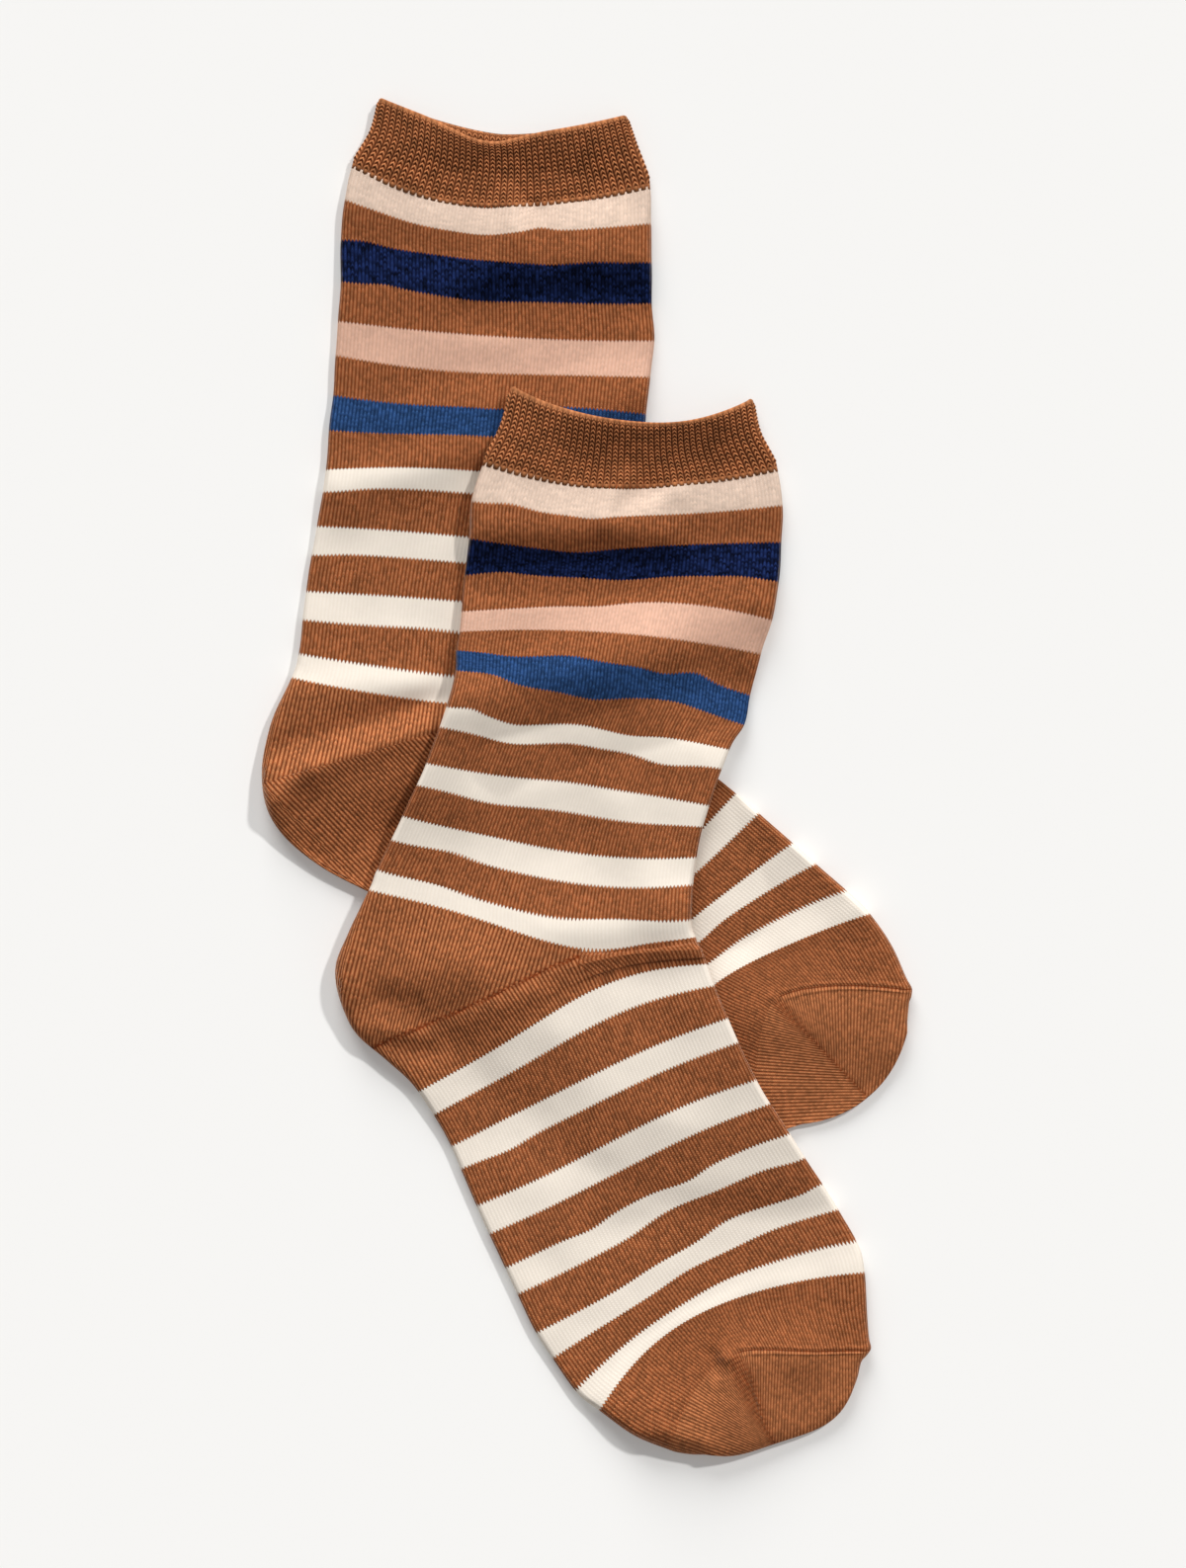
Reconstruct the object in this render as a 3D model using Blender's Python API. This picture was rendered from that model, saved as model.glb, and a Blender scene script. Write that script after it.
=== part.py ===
"""A pair of striped crew socks in fine knit, laid flat with one over the other.

Each sock is one knitted tube: a ribbed cuff, a leg, a turned heel, a foot and a toe
that a linking seam closes over the toes.  It is pressed flat, so the tube's two faces
lie on each other with a rounded fold along the back and along the front.  A sock is
lofted through sections, each of which is one course line of the knit, from the cuff's
rim to the end of the toe.  The wall is offset inwards by the thickness of the knit, and
the cuff is left open.

The lower sock lies on the surface, and the upper sock is draped over it.
Tables and sizes are in millimetres; the meshes are built in metres, +Z up.
"""
import bpy
import numpy as np

MM = 0.001

# ---------------------------------------------------------------- the knit
WALL = 1.2                   # thickness of the knitted wall
RIBS_A_FACE = 44             # ribs across one face of the cuff
RIB_RISE = 0.5               # height of a rib over its furrow
RIB_FADE = 0.1               # a rib rises over this part of a section
SEAM_RISE = 0.7              # height of the linking seam over the toes
EAR_RISE = 1.1               # how far the seam's ends stand out of the front fold
SEAM_WIDTH = 0.10            # half width of the seam, in steps of a section
STAR = 0.44                  # where the seam and the gore meet, as a share of a section
EAR = 0.94                   # where the seam's ear starts
SEAM_FADE = 0.05             # share of a section over which the seam or its ear rises

# ---------------------------------------------------------------- the flat lay
FOLD_REACH = 1.35            # depth of the rounded fold, as a share of its height
DISH = 0.20                  # how much thinner the middle is than the folds
DISH_START = 4.0             # distance from the edge where it starts to thin
DISH_END = 20.0              # and where it is thinnest
TOE_ROUND = 0.40             # the toe's end rounds over, in the last steps of a section
LEAST_HOLLOW = 0.5           # the two faces stay this far apart inside
CLEARANCE = 0.65             # between the upper sock and what it lies on
DRAPE_REACH = 7.5            # the upper sock bridges hollows narrower than twice this
DRAPE_CELL = 1.5             # cell of the grid that the drape is worked out on
LAY_X = -2.27                # moves both socks so that the pair is centred on the origin
LAY_Y = 0.46

# ---------------------------------------------------------------- mesh steps
RINGS_A_SECTION = 2          # outer rings from one section to the next
EDGE_STEPS = 3               # steps round each fold, on each face
TOP_STEPS = 13               # steps across the upper face, between the folds
FLAT_STEPS = 8               # steps across a lower face that lies flat
DRAPED_STEPS = 13            # steps across a lower face that is draped
TOE_RINGS = (-0.24, -0.10, -0.01)        # rings of the rounded end, before the last section
INNER_TOE = -0.22                        # where the hollow ends, before the last section
INNER_EDGE_STEPS = 2
INNER_TOP_STEPS = 7
INNER_UNDER_STEPS = 5
RIB_RINGS = (0.0, 0.15, 0.60, 1.10, 1.60, 1.88, 2.0)     # rings of the cuff, rim to leg
SEAM_RINGS = (-0.14, 0.0, 0.14)          # rings at the seam, in steps of a section
SHARP_ANGLE = 40.0                       # edges sharper than this stay crisp

KNIT_COLOUR = (0.41, 0.17, 0.06, 1.0)
KNIT_ROUGHNESS = 0.95

# A section: x, y of its middle, the width from back fold to front fold, the turn of that
# line in degrees, how far the course line sags below it, how far its halves differ, the
# shape of the sag (2 is an arc, less is a corner), and the height of the folds.
SECTION = ("place", "x", "y", "width", "turn", "sag", "skew", "bow", "height")

LOWER_SECTIONS = (
    ("cuff rim", -23.0, 199.0, 73.5, -4.0, 9.0, -0.5, 2.0, 4.4),
    ("cuff middle", -23.0, 190.5, 79.5, -3.0, 9.8, 0.0, 2.0, 4.6),
    ("cuff end", -23.5, 179.5, 88.5, -4.0, 9.0, 1.0, 2.0, 4.6),
    ("oat end", -24.5, 168.5, 91.5, -4.5, 6.5, 1.0, 2.0, 4.8),
    ("navy start", -25.0, 156.5, 93.0, -4.0, 3.0, -0.5, 2.0, 4.6),
    ("navy end", -25.0, 144.5, 93.0, -4.0, 2.0, 0.0, 2.0, 4.6),
    ("rose start", -25.0, 133.0, 94.5, -3.5, 1.5, 0.0, 2.0, 4.6),
    ("rose end", -26.0, 122.5, 94.0, -4.0, 2.0, 0.5, 2.0, 4.6),
    ("blue start", -27.0, 111.0, 93.5, -3.5, 0.5, 1.0, 2.0, 4.6),
    ("blue end", -28.0, 100.5, 94.0, -3.5, -0.5, 0.5, 2.0, 4.6),
    ("leg band 1", -28.5, 89.5, 94.5, -2.5, -1.5, -0.5, 2.0, 4.6),
    ("leg band 2", -31.0, 72.0, 95.0, -3.5, 0.5, -0.5, 2.0, 4.6),
    ("leg band 3", -34.0, 53.5, 95.5, -2.5, 1.0, -0.5, 2.0, 4.6),
    ("leg band 4", -36.0, 36.0, 95.5, -1.5, 5.5, -1.0, 2.0, 5.0),
    ("heel start", -37.0, 29.0, 97.5, -1.0, 7.0, -1.0, 2.0, 5.4),
    ("heel back", -40.5, 20.0, 105.5, 7.0, 6.5, -0.5, 2.0, 6.4),
    ("heel point", -41.0, 11.0, 111.0, 15.0, 0.0, -1.0, 2.0, 7.0),
    ("heel turn", -38.0, 4.0, 110.5, 21.5, -1.5, 0.5, 2.0, 7.0),
    ("heel under", -31.5, -1.5, 105.0, 28.5, -4.0, 1.0, 2.0, 6.4),
    ("foot band 1", -22.0, -7.0, 95.0, 37.5, -4.5, 1.0, 2.0, 5.2),
    ("foot band 2", -9.0, -15.5, 90.0, 41.0, -3.5, 2.0, 2.0, 4.6),
    ("foot band 3", 3.5, -26.0, 88.0, 44.0, -3.5, 1.5, 2.0, 4.6),
    ("foot band 4", 16.5, -37.0, 87.5, 47.5, -2.0, -1.0, 2.0, 4.6),
    ("foot band 5", 32.0, -51.0, 88.5, 45.5, -6.5, -1.5, 2.0, 4.6),
    ("foot band 6", 47.0, -64.0, 88.0, 44.0, -13.0, -1.5, 2.0, 4.6),
    ("toe start", 54.0, -69.5, 86.5, 42.0, -14.5, -2.5, 2.0, 4.8),
    ("toe", 64.5, -77.0, 78.0, 44.0, -21.5, -0.5, 1.8, 5.0),
    ("seam", 75.5, -85.0, 63.0, 43.5, -26.0, 0.0, 1.5, 5.2),
    ("toe box 1", 77.5, -87.0, 56.5, 43.5, -15.5, 0.0, 1.7, 5.2),
    ("toe box 2", 79.5, -88.5, 49.0, 42.5, -4.5, 0.0, 1.9, 5.0),
    ("toe end", 81.5, -90.0, 42.0, 40.5, 7.0, 0.0, 2.1, 4.6),
)

UPPER_SECTIONS = (
    ("cuff rim", 15.5, 113.5, 71.5, -2.5, 8.5, -0.5, 2.0, 4.4),
    ("cuff middle", 15.0, 103.5, 76.5, -1.0, 8.0, 0.0, 2.0, 4.6),
    ("cuff end", 15.0, 93.0, 87.0, -1.0, 6.5, 0.5, 2.0, 4.6),
    ("oat end", 14.0, 81.5, 92.5, -0.5, 4.0, 0.5, 2.0, 4.8),
    ("navy start", 13.5, 70.5, 93.0, -0.5, 2.5, 1.0, 2.0, 4.6),
    ("navy end", 12.5, 59.0, 93.5, -1.0, -1.0, 0.5, 2.0, 4.6),
    ("rose start", 11.0, 48.0, 92.5, -1.5, -4.0, 1.0, 2.0, 4.6),
    ("rose end", 9.0, 40.0, 90.0, -4.0, -3.0, 0.0, 2.0, 4.6),
    ("blue start", 7.0, 31.0, 88.5, -8.5, -3.0, 0.5, 2.0, 4.6),
    ("blue end", 6.0, 23.5, 87.5, -10.5, -1.0, 1.5, 2.0, 4.6),
    ("leg band 1", 2.5, 14.5, 85.0, -8.5, 0.0, 1.0, 2.0, 4.6),
    ("leg band 2", -3.5, -2.0, 85.0, -8.5, 0.0, 0.5, 2.0, 4.6),
    ("leg band 3", -9.0, -17.5, 88.0, -8.0, 3.5, -0.5, 2.0, 4.6),
    ("leg band 4", -13.5, -34.5, 94.5, -9.0, 5.5, -1.0, 2.0, 4.8),
    ("heel start", -14.0, -40.5, 98.0, -8.5, 6.5, -2.5, 2.0, 5.2),
    ("heel back", -17.0, -48.0, 104.0, -1.5, 7.0, 1.5, 2.0, 6.2),
    ("heel point", -18.5, -54.5, 109.0, 4.0, 6.0, 3.5, 2.0, 7.0),
    ("heel turn", -16.0, -63.0, 107.0, 12.0, -1.0, 2.5, 2.0, 7.0),
    ("heel under", -10.5, -69.0, 99.5, 18.0, -4.0, 2.0, 2.0, 6.2),
    ("foot band 1", -5.5, -74.5, 94.0, 24.0, -5.5, 2.0, 2.0, 5.0),
    ("foot band 2", 2.5, -90.5, 91.0, 25.0, -1.5, 0.5, 2.0, 4.6),
    ("foot band 3", 10.5, -108.5, 91.5, 24.5, -1.0, 1.0, 2.0, 4.6),
    ("foot band 4", 19.5, -125.5, 93.5, 26.0, -0.5, 0.5, 2.0, 4.6),
    ("foot band 5", 29.5, -143.5, 96.0, 27.0, -1.5, 1.0, 2.0, 4.6),
    ("foot band 6", 40.0, -160.0, 95.0, 28.0, -7.5, 0.0, 2.0, 4.6),
    ("toe start", 45.0, -168.0, 89.5, 27.5, -11.5, -1.0, 2.0, 4.8),
    ("toe", 50.5, -177.5, 79.0, 28.0, -16.5, -1.0, 1.8, 5.0),
    ("seam", 56.0, -185.5, 67.0, 26.5, -17.0, -2.5, 1.5, 5.2),
    ("toe box 1", 57.0, -188.0, 60.0, 27.0, -9.5, -1.5, 2.0, 5.2),
    ("toe box 2", 58.5, -190.5, 53.5, 25.5, -1.5, -1.0, 3.0, 5.0),
    ("toe end", 60.0, -192.5, 46.0, 24.0, 5.5, -0.8, 4.0, 4.6),
)

# A fold of the upper face: a soft ridge (rise over 0) or trough (under 0) along a line
# from one end to the other, with its half width.
FOLD = ("place", "x0", "y0", "x1", "y1", "half_width", "rise")

LOWER_FOLDS = (
    ("gather under the cuff", -20.0, 176.0, -17.0, 164.0, 4.0, 1.1),
    ("hollow beside it", -27.0, 172.0, -25.0, 166.0, 5.0, -0.7),
    ("hollow in the navy", -14.0, 148.0, 6.0, 145.0, 6.0, -0.8),
    ("swell of the leg", -52.0, 120.0, -50.0, 70.0, 12.0, 0.8),
    ("heel gore", -46.0, 11.5, -86.0, 1.0, 4.0, 0.9),
    ("heel hollow", -60.0, -8.0, -78.0, -2.0, 9.0, -0.9),
    ("toe gore", 60.0, -68.0, 80.0, -90.0, 3.5, -0.6),
    ("instep swell", 60.0, -20.0, 78.0, -40.0, 9.0, 0.7),
)

UPPER_FOLDS = (
    ("gather under the cuff", 13.0, 90.0, 7.0, 80.0, 3.5, 1.3),
    ("second gather", 22.0, 88.0, 17.0, 79.0, 3.5, -0.8),
    ("hollow in the navy", 6.0, 63.0, 34.0, 64.0, 7.0, -0.8),
    ("swell over the rose", 0.0, 47.0, 30.0, 46.0, 8.0, 0.8),
    ("valley of the leg", 14.0, 34.0, 38.0, 22.0, 9.0, -0.8),
    ("ridge by the valley", -6.0, 24.0, 20.0, 14.0, 8.0, 0.8),
    ("ankle crease", -10.0, -49.0, 26.0, -46.0, 7.0, -0.7),
    ("ankle ridge", -8.0, -60.0, 22.0, -58.0, 8.0, 0.8),
    ("heel gore", -6.0, -55.0, -44.0, -71.0, 4.0, -0.8),
    ("heel ridge", -38.0, -78.0, -62.0, -77.0, 4.0, 1.0),
    ("toe gore", 45.0, -175.0, 58.0, -196.0, 3.5, -0.6),
    ("crease by the toe", 28.0, -196.5, 38.0, -201.0, 2.5, -0.8),
)

MOUTH_SLIT = {"sock_under": 3.4, "sock_over": 0.0}   # the upper rim droops by this
SLIT_MIDDLE = 0.42
SLIT_WIDTH = 0.20


def table(columns, rows):
    """Turns rows of a table into one array for each named number."""
    return {name: np.array([row[k] for row in rows], float)
            for k, name in enumerate(columns) if name != "place"}


def between(column, t):
    """Reads a column at the fractional rows t, along a smooth curve through the rows."""
    last = len(column) - 1
    padded = np.concatenate(([2 * column[0] - column[1]], column,
                             [2 * column[-1] - column[-2]]))
    k = np.clip(np.floor(t).astype(int), 0, last - 1)
    u = t - k
    before, start, end, after = (padded[k + step] for step in range(4))
    return start + 0.5 * u * (end - before + u * (
        2 * before - 5 * start + 4 * end - after + u * (3 * (start - end) + after - before)))


def smooth(value):
    """A soft step from 0 to 1 while the value goes from 0 to 1."""
    value = np.clip(value, 0.0, 1.0)
    return value * value * (3.0 - 2.0 * value)


def fold_relief(folds, x, y):
    """Sum of the folds at x, y: each is a rounded ridge about its own line."""
    relief = np.zeros_like(x)
    for row in folds:
        fold = dict(zip(FOLD, row))
        run_x = fold["x1"] - fold["x0"]
        run_y = fold["y1"] - fold["y0"]
        along = (x - fold["x0"]) * run_x + (y - fold["y0"]) * run_y
        share = np.clip(along / (run_x ** 2 + run_y ** 2), 0.0, 1.0)
        away = np.hypot(x - fold["x0"] - share * run_x, y - fold["y0"] - share * run_y)
        relief += fold["rise"] * np.exp(-(away / fold["half_width"]) ** 2)
    return relief


class Sock:
    """One sock of the pair, as a surface in t (rows of its table) and a way round."""

    def __init__(self, name, sections, folds, ground, under_steps):
        self.name = name
        self.under_steps = under_steps
        self.rows = table(SECTION, sections)
        self.folds = folds
        self.ground = ground
        self.last = len(sections) - 1
        places = [row[0] for row in sections]
        self.leg = places.index("cuff end")
        self.seam = places.index("seam")

    def section(self, t):
        """The section at t, with the reach and height of its rounded folds."""
        now = {name: between(column, t)[:, None] for name, column in self.rows.items()}
        now["half"] = now["height"] / 2
        now["reach"] = np.minimum(FOLD_REACH * now["half"], 0.45 * now["width"])
        now["arc"] = np.pi / 2 * np.sqrt((now["reach"] ** 2 + now["half"] ** 2) / 2)
        now["flat"] = now["width"] - 2 * now["reach"]
        now["face"] = now["flat"] + 2 * now["arc"]
        return now

    def stations(self, t, edge_steps, top_steps, under_steps):
        """Places round a ring: close together in the folds, even across the faces."""
        now = self.section(t)
        rounds = now["arc"] / now["face"] / 2
        edge = np.arange(edge_steps) / edge_steps
        places = []
        for start, steps in ((0.0, top_steps), (0.5, under_steps)):
            across = np.arange(steps) / steps
            places.append(start + rounds * edge)
            places.append(start + rounds + (0.5 - 2 * rounds) * across)
            places.append(start + 0.5 - rounds * (1 - edge))
        return np.concatenate(places, axis=1)

    def surface(self, t, way, offset):
        """Points at t and way (0 back fold, 0.5 front fold, 1 back again), moved out
        of the wall by the offset, but not out of the flat underside."""
        now = self.section(t)
        upper = way <= 0.5
        length = np.where(upper, 2 * way, 2 - 2 * way) * now["face"]
        back = np.pi / 2 * np.clip(length / now["arc"], 0, 1)
        front = np.pi / 2 * np.clip((now["face"] - length) / now["arc"], 0, 1)
        distance = (now["reach"] * (1 - np.cos(back) + np.cos(front))
                    + np.clip(length - now["arc"], 0, now["flat"]))
        share = distance / now["width"]
        sag = (now["sag"] * (1 - np.abs(2 * share - 1) ** now["bow"])
               + now["skew"] * np.sin(2 * np.pi * share))
        open_end = np.clip(1 - t[:, None], 0, 1) ** 2
        droop = MOUTH_SLIT[self.name] * open_end * np.exp(
            -((share - SLIT_MIDDLE) / SLIT_WIDTH) ** 2)
        sag = np.where(upper, sag, sag - droop)
        outward = np.cos(front) - np.cos(back)
        lift = np.sin(back) * np.sin(front)
        offset = np.where(upper | (offset < 0), offset, offset * (1 - lift))
        run = distance - now["width"] / 2 + offset * outward
        turn = np.radians(now["turn"])
        x = now["x"] + run * np.cos(turn) + sag * np.sin(turn)
        y = now["y"] + run * np.sin(turn) - sag * np.cos(turn)
        inset = np.minimum(distance, now["width"] - distance)
        thin = smooth((inset - DISH_START) / (DISH_END - DISH_START))
        depth = now["height"] * (1 - DISH * thin) + fold_relief(self.folds, x, y) * lift
        depth = np.maximum(depth, 2 * WALL + LEAST_HOLLOW)
        rise = np.where(upper, depth - now["half"] + offset, -now["half"] - offset) * lift
        close = 1 - np.clip((self.last - t[:, None]) / TOE_ROUND, 0, 1)
        z = self.ground(x, y) + now["half"] + rise * np.sqrt(1 - close ** 2)
        return np.stack((x, y, z), axis=-1)


def seam_relief(sock, t, way):
    """The linking seam: a ridge on the instep's half of both faces, and its two ears."""
    near = np.exp(-((t - sock.seam) / SEAM_WIDTH) ** 2)[:, None]
    share = np.where(way <= 0.5, 2 * way, 2 - 2 * way)
    ear = smooth((share - EAR) / SEAM_FADE)
    on_face = smooth((share - STAR) / SEAM_FADE)
    return near * (SEAM_RISE * on_face * (1 - ear) + EAR_RISE * ear)


def rib_relief(t, way):
    """Ribs of the cuff: high and low by turns, and plain along the rim and the leg."""
    count = way.shape[1]
    ridge = (np.arange(count) % 2) * np.ones_like(way)
    ends = smooth((t - RIB_RINGS[0]) / RIB_FADE) * smooth((RIB_RINGS[-1] - t) / RIB_FADE)
    return RIB_RISE * ridge * ends[:, None]


def outer_rings(sock):
    """Rows of the body's outer rings, from the toe to the leg."""
    t = np.arange(sock.last - 1 / RINGS_A_SECTION, sock.leg + 0.01, -1 / RINGS_A_SECTION)
    t = t[np.abs(t - sock.seam) > 0.4]
    return np.sort(np.concatenate((t, sock.seam + np.array(SEAM_RINGS),
                                   sock.last + np.array(TOE_RINGS))))[::-1]


def sock_loops(sock):
    """Closed loops (their points and ways): from the toe to the rim, then back inside."""
    steps = (EDGE_STEPS, TOP_STEPS, sock.under_steps)
    inner_steps = (INNER_EDGE_STEPS, INNER_TOP_STEPS, INNER_UNDER_STEPS)
    loops = []
    t = outer_rings(sock)
    way = sock.stations(t, *steps)
    loops += zip(sock.surface(t, way, seam_relief(sock, t, way)), way)

    t = np.array(RIB_RINGS[::-1])
    way = np.tile(np.arange(4 * RIBS_A_FACE) / (4 * RIBS_A_FACE), (len(t), 1))
    loops += zip(sock.surface(t, way, rib_relief(t, way)), way)

    t = np.concatenate((np.arange(0.0, sock.last - 0.5), [sock.last + INNER_TOE]))
    way = sock.stations(t, *inner_steps)
    loops += zip(sock.surface(t, way, np.full_like(way, -WALL)), way)
    return loops


def zip_chains(first, first_way, second, second_way):
    """Triangles between two chains of points, each step taken where the other is ahead."""
    faces = []
    i = 0
    j = 0
    while i < len(first) - 1 or j < len(second) - 1:
        step_first = j == len(second) - 1 or (
            i < len(first) - 1 and first_way[i + 1] <= second_way[j + 1])
        if step_first:
            faces.append((first[i], first[i + 1], second[j]))
            i += 1
        else:
            faces.append((first[i], second[j + 1], second[j]))
            j += 1
    return faces


def bridge(first, first_way, second, second_way):
    """Triangles between two loops: rung by rung where they have as many points."""
    first = first + first[:1]
    second = second + second[:1]
    if len(first) == len(second):
        first_way = second_way = np.arange(len(first))
    else:
        first_way = np.append(first_way, 1.0)
        second_way = np.append(second_way, 1.0)
    return zip_chains(first, first_way, second, second_way)


def end_cap(loop, way):
    """Triangles that close a flattened loop, between its upper and its lower points."""
    turn = int(np.argmin(np.abs(way - 0.5)))
    upper = loop[:turn + 1]
    lower = loop[:1] + loop[:turn - 1:-1]
    lower_way = np.concatenate(([0.0], 1 - way[:turn - 1:-1]))
    faces = zip_chains(upper, way[:turn + 1], lower, lower_way)
    return [face for face in faces if len(set(face)) == 3]


def sock_mesh(sock):
    """Joins the loops into one closed body, capped at the toe outside and inside."""
    loops = sock_loops(sock)
    points = np.concatenate([loop for loop, way in loops])
    starts = np.cumsum([0] + [len(way) for loop, way in loops])
    numbers = [list(range(start, end)) for start, end in zip(starts[:-1], starts[1:])]
    ways = [way for loop, way in loops]
    faces = [face[::-1] for face in end_cap(numbers[0], ways[0])]
    for k in range(len(loops) - 1):
        faces += bridge(numbers[k], ways[k], numbers[k + 1], ways[k + 1])
    faces += end_cap(numbers[-1], ways[-1])
    mesh = bpy.data.meshes.new(sock.name)
    mesh.from_pydata((points * MM).tolist(), [], faces)
    mesh.validate()
    return mesh


def widest(height, cells):
    """Greatest value within a number of cells all round."""
    best = height.copy()
    for dy in range(-cells, cells + 1):
        for dx in range(-cells, cells + 1):
            if dx * dx + dy * dy <= cells * cells:
                best = np.maximum(best, np.roll(height, (dy, dx), axis=(0, 1)))
    return best


def average(height, cells):
    """Mean value within a number of cells all round."""
    total = np.zeros_like(height)
    count = 0
    for dy in range(-cells, cells + 1):
        for dx in range(-cells, cells + 1):
            if dx * dx + dy * dy <= cells * cells:
                total += np.roll(height, (dy, dx), axis=(0, 1))
                count += 1
    return total / count


def floor(x, y):
    """The surface that the pair lies on."""
    return np.zeros_like(x)


def draped_over(sock):
    """The height that a cloth laid over a sock takes: its top, widened and smoothed."""
    t = np.linspace(0.0, sock.last, 1200)
    way = np.tile(np.linspace(0.0, 0.5, 240), (len(t), 1))
    top = sock.surface(t, way, np.zeros_like(way)).reshape(-1, 3)
    corner = top[:, :2].min(axis=0) - 6 * DRAPE_REACH
    size = np.ceil((top[:, :2].max(axis=0) + 6 * DRAPE_REACH - corner) / DRAPE_CELL)
    cell = np.round((top[:, :2] - corner) / DRAPE_CELL).astype(int)
    height = np.zeros((int(size[0]) + 1, int(size[1]) + 1))
    np.maximum.at(height, (cell[:, 0], cell[:, 1]), top[:, 2])
    reach = int(DRAPE_REACH / DRAPE_CELL)
    height = average(widest(height, reach), reach)
    height += CLEARANCE * np.minimum(height, 1.0)

    def ground(x, y):
        across = np.clip((x - corner[0]) / DRAPE_CELL, 0, height.shape[0] - 1.001)
        along = np.clip((y - corner[1]) / DRAPE_CELL, 0, height.shape[1] - 1.001)
        i = across.astype(int)
        j = along.astype(int)
        u = across - i
        v = along - j
        low = height[i, j] * (1 - u) + height[i + 1, j] * u
        high = height[i, j + 1] * (1 - u) + height[i + 1, j + 1] * u
        return low * (1 - v) + high * v

    return ground


def knit_material(name):
    """Dyed cotton knit: matt, brown."""
    material = bpy.data.materials.new(name)
    material.use_nodes = True
    shader = material.node_tree.nodes["Principled BSDF"]
    shader.inputs["Base Color"].default_value = KNIT_COLOUR
    shader.inputs["Roughness"].default_value = KNIT_ROUGHNESS
    shader.inputs["Metallic"].default_value = 0.0
    return material


def add_sock(sock, collection):
    """Makes the sock's object, moved so that the pair is centred on the origin."""
    mesh = sock_mesh(sock)
    mesh.materials.append(knit_material(sock.name + "_knit"))
    mesh.shade_smooth()
    mesh.set_sharp_from_angle(angle=np.radians(SHARP_ANGLE))
    piece = bpy.data.objects.new(sock.name, mesh)
    piece.location = (LAY_X * MM, LAY_Y * MM, 0.0)
    collection.objects.link(piece)
    return piece


def main():
    """Clears the scene and lays the pair."""
    for old in list(bpy.data.objects):
        bpy.data.objects.remove(old, do_unlink=True)
    pair = bpy.data.collections.new("pair_of_socks")
    bpy.context.scene.collection.children.link(pair)
    lower = Sock("sock_under", LOWER_SECTIONS, LOWER_FOLDS, floor, FLAT_STEPS)
    upper = Sock("sock_over", UPPER_SECTIONS, UPPER_FOLDS, draped_over(lower), DRAPED_STEPS)
    add_sock(lower, pair)
    add_sock(upper, pair)


main()
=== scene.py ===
# %% [markdown]
# # A pair of striped crew socks, laid flat
# Fine cotton socks in brown, with bands of oatmeal, navy, rose, blue and cream, a ribbed
# cuff, a turned heel and a toe that a linking seam closes.  One sock lies on the table and
# the other is laid over it.
#
# The lesson builds the looks of the pair round its plain CAD solids.  The work goes in the
# order in which a sock is knitted: sizes first, then the flattened tube, then where each
# stitch of the knit runs, then the ribbed cuff in real relief, and last yarn and light.
# Tables are in millimetres; the pieces are made in metres with +Z up.

import bpy
import numpy as np
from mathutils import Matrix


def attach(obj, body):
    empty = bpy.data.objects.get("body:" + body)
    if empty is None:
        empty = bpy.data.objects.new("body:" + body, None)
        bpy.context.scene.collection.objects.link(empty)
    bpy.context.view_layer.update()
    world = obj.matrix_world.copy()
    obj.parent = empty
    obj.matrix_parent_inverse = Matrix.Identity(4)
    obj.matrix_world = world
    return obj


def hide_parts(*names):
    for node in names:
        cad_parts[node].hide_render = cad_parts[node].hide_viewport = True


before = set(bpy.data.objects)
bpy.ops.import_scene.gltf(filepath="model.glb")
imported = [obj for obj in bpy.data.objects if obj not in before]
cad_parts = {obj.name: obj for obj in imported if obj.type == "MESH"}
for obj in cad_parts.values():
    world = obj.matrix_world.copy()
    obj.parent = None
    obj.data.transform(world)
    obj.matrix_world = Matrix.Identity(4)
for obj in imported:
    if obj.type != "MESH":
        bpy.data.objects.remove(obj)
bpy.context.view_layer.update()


# %% [markdown]
# ## Sizes
# A flattened sock is a pile of course lines.  Each row of the table is one such line: the
# middle of its chord, the chord's length from the back fold to the front fold and its turn
# in degrees, how far the line sags below the chord, how far its halves differ, how high the
# folds stand, and the power that shapes the sag: 2 is a round bow, and more is a flat one.

# %% Named sizes and the tables of the two socks
MM = 0.001
WALL = 1.0                   # thickness of the knitted wall
FOLD_REACH = 0.75            # depth of the rounded fold, as a share of half the height,
FOLD_LIMIT = 0.45            # and at most this share of the width
DISH = 0.10                  # share by which the middle is thinner than the folds
DISH_START = 4.0             # distances from a fold at which it starts to get thinner
DISH_END = 20.0              # and at which it is as thin as in the middle
TOE_ROUND = 0.40             # rows over which the toe's end is rounded off
LEAST_HOLLOW = 0.3           # least gap between the two walls
SLIT_DEPTH = {"sock_under": 3.2, "sock_over": 0.0}   # how far the cuff's mouth gapes,
SLIT_PLACE = 0.43            # where it does, as a share of the width,
SLIT_REACH = 0.16            # and how far to either side, as a share of it as well
CLEARANCE = 0.65             # between the upper sock and what it lies on
DRAPE_REACH = 13.0           # the upper sock bridges hollows narrower than twice this
DRAPE_MARGIN = 6 * DRAPE_REACH   # width of the height map beside the sock
DRAPE_CELL = 1.0             # size of one of its cells
DRAPE_SAMPLES = (1600, 320)  # rings and columns of the sock that fill it
SOFT_CELLS = 2               # cells over which the clearance is smoothed
LINE_SAMPLES = 400           # points on a fold or a course line that is measured
LAY = np.array((-2.27, 0.46, 0.0))   # where the zero of the tables lies in the frame

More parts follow.
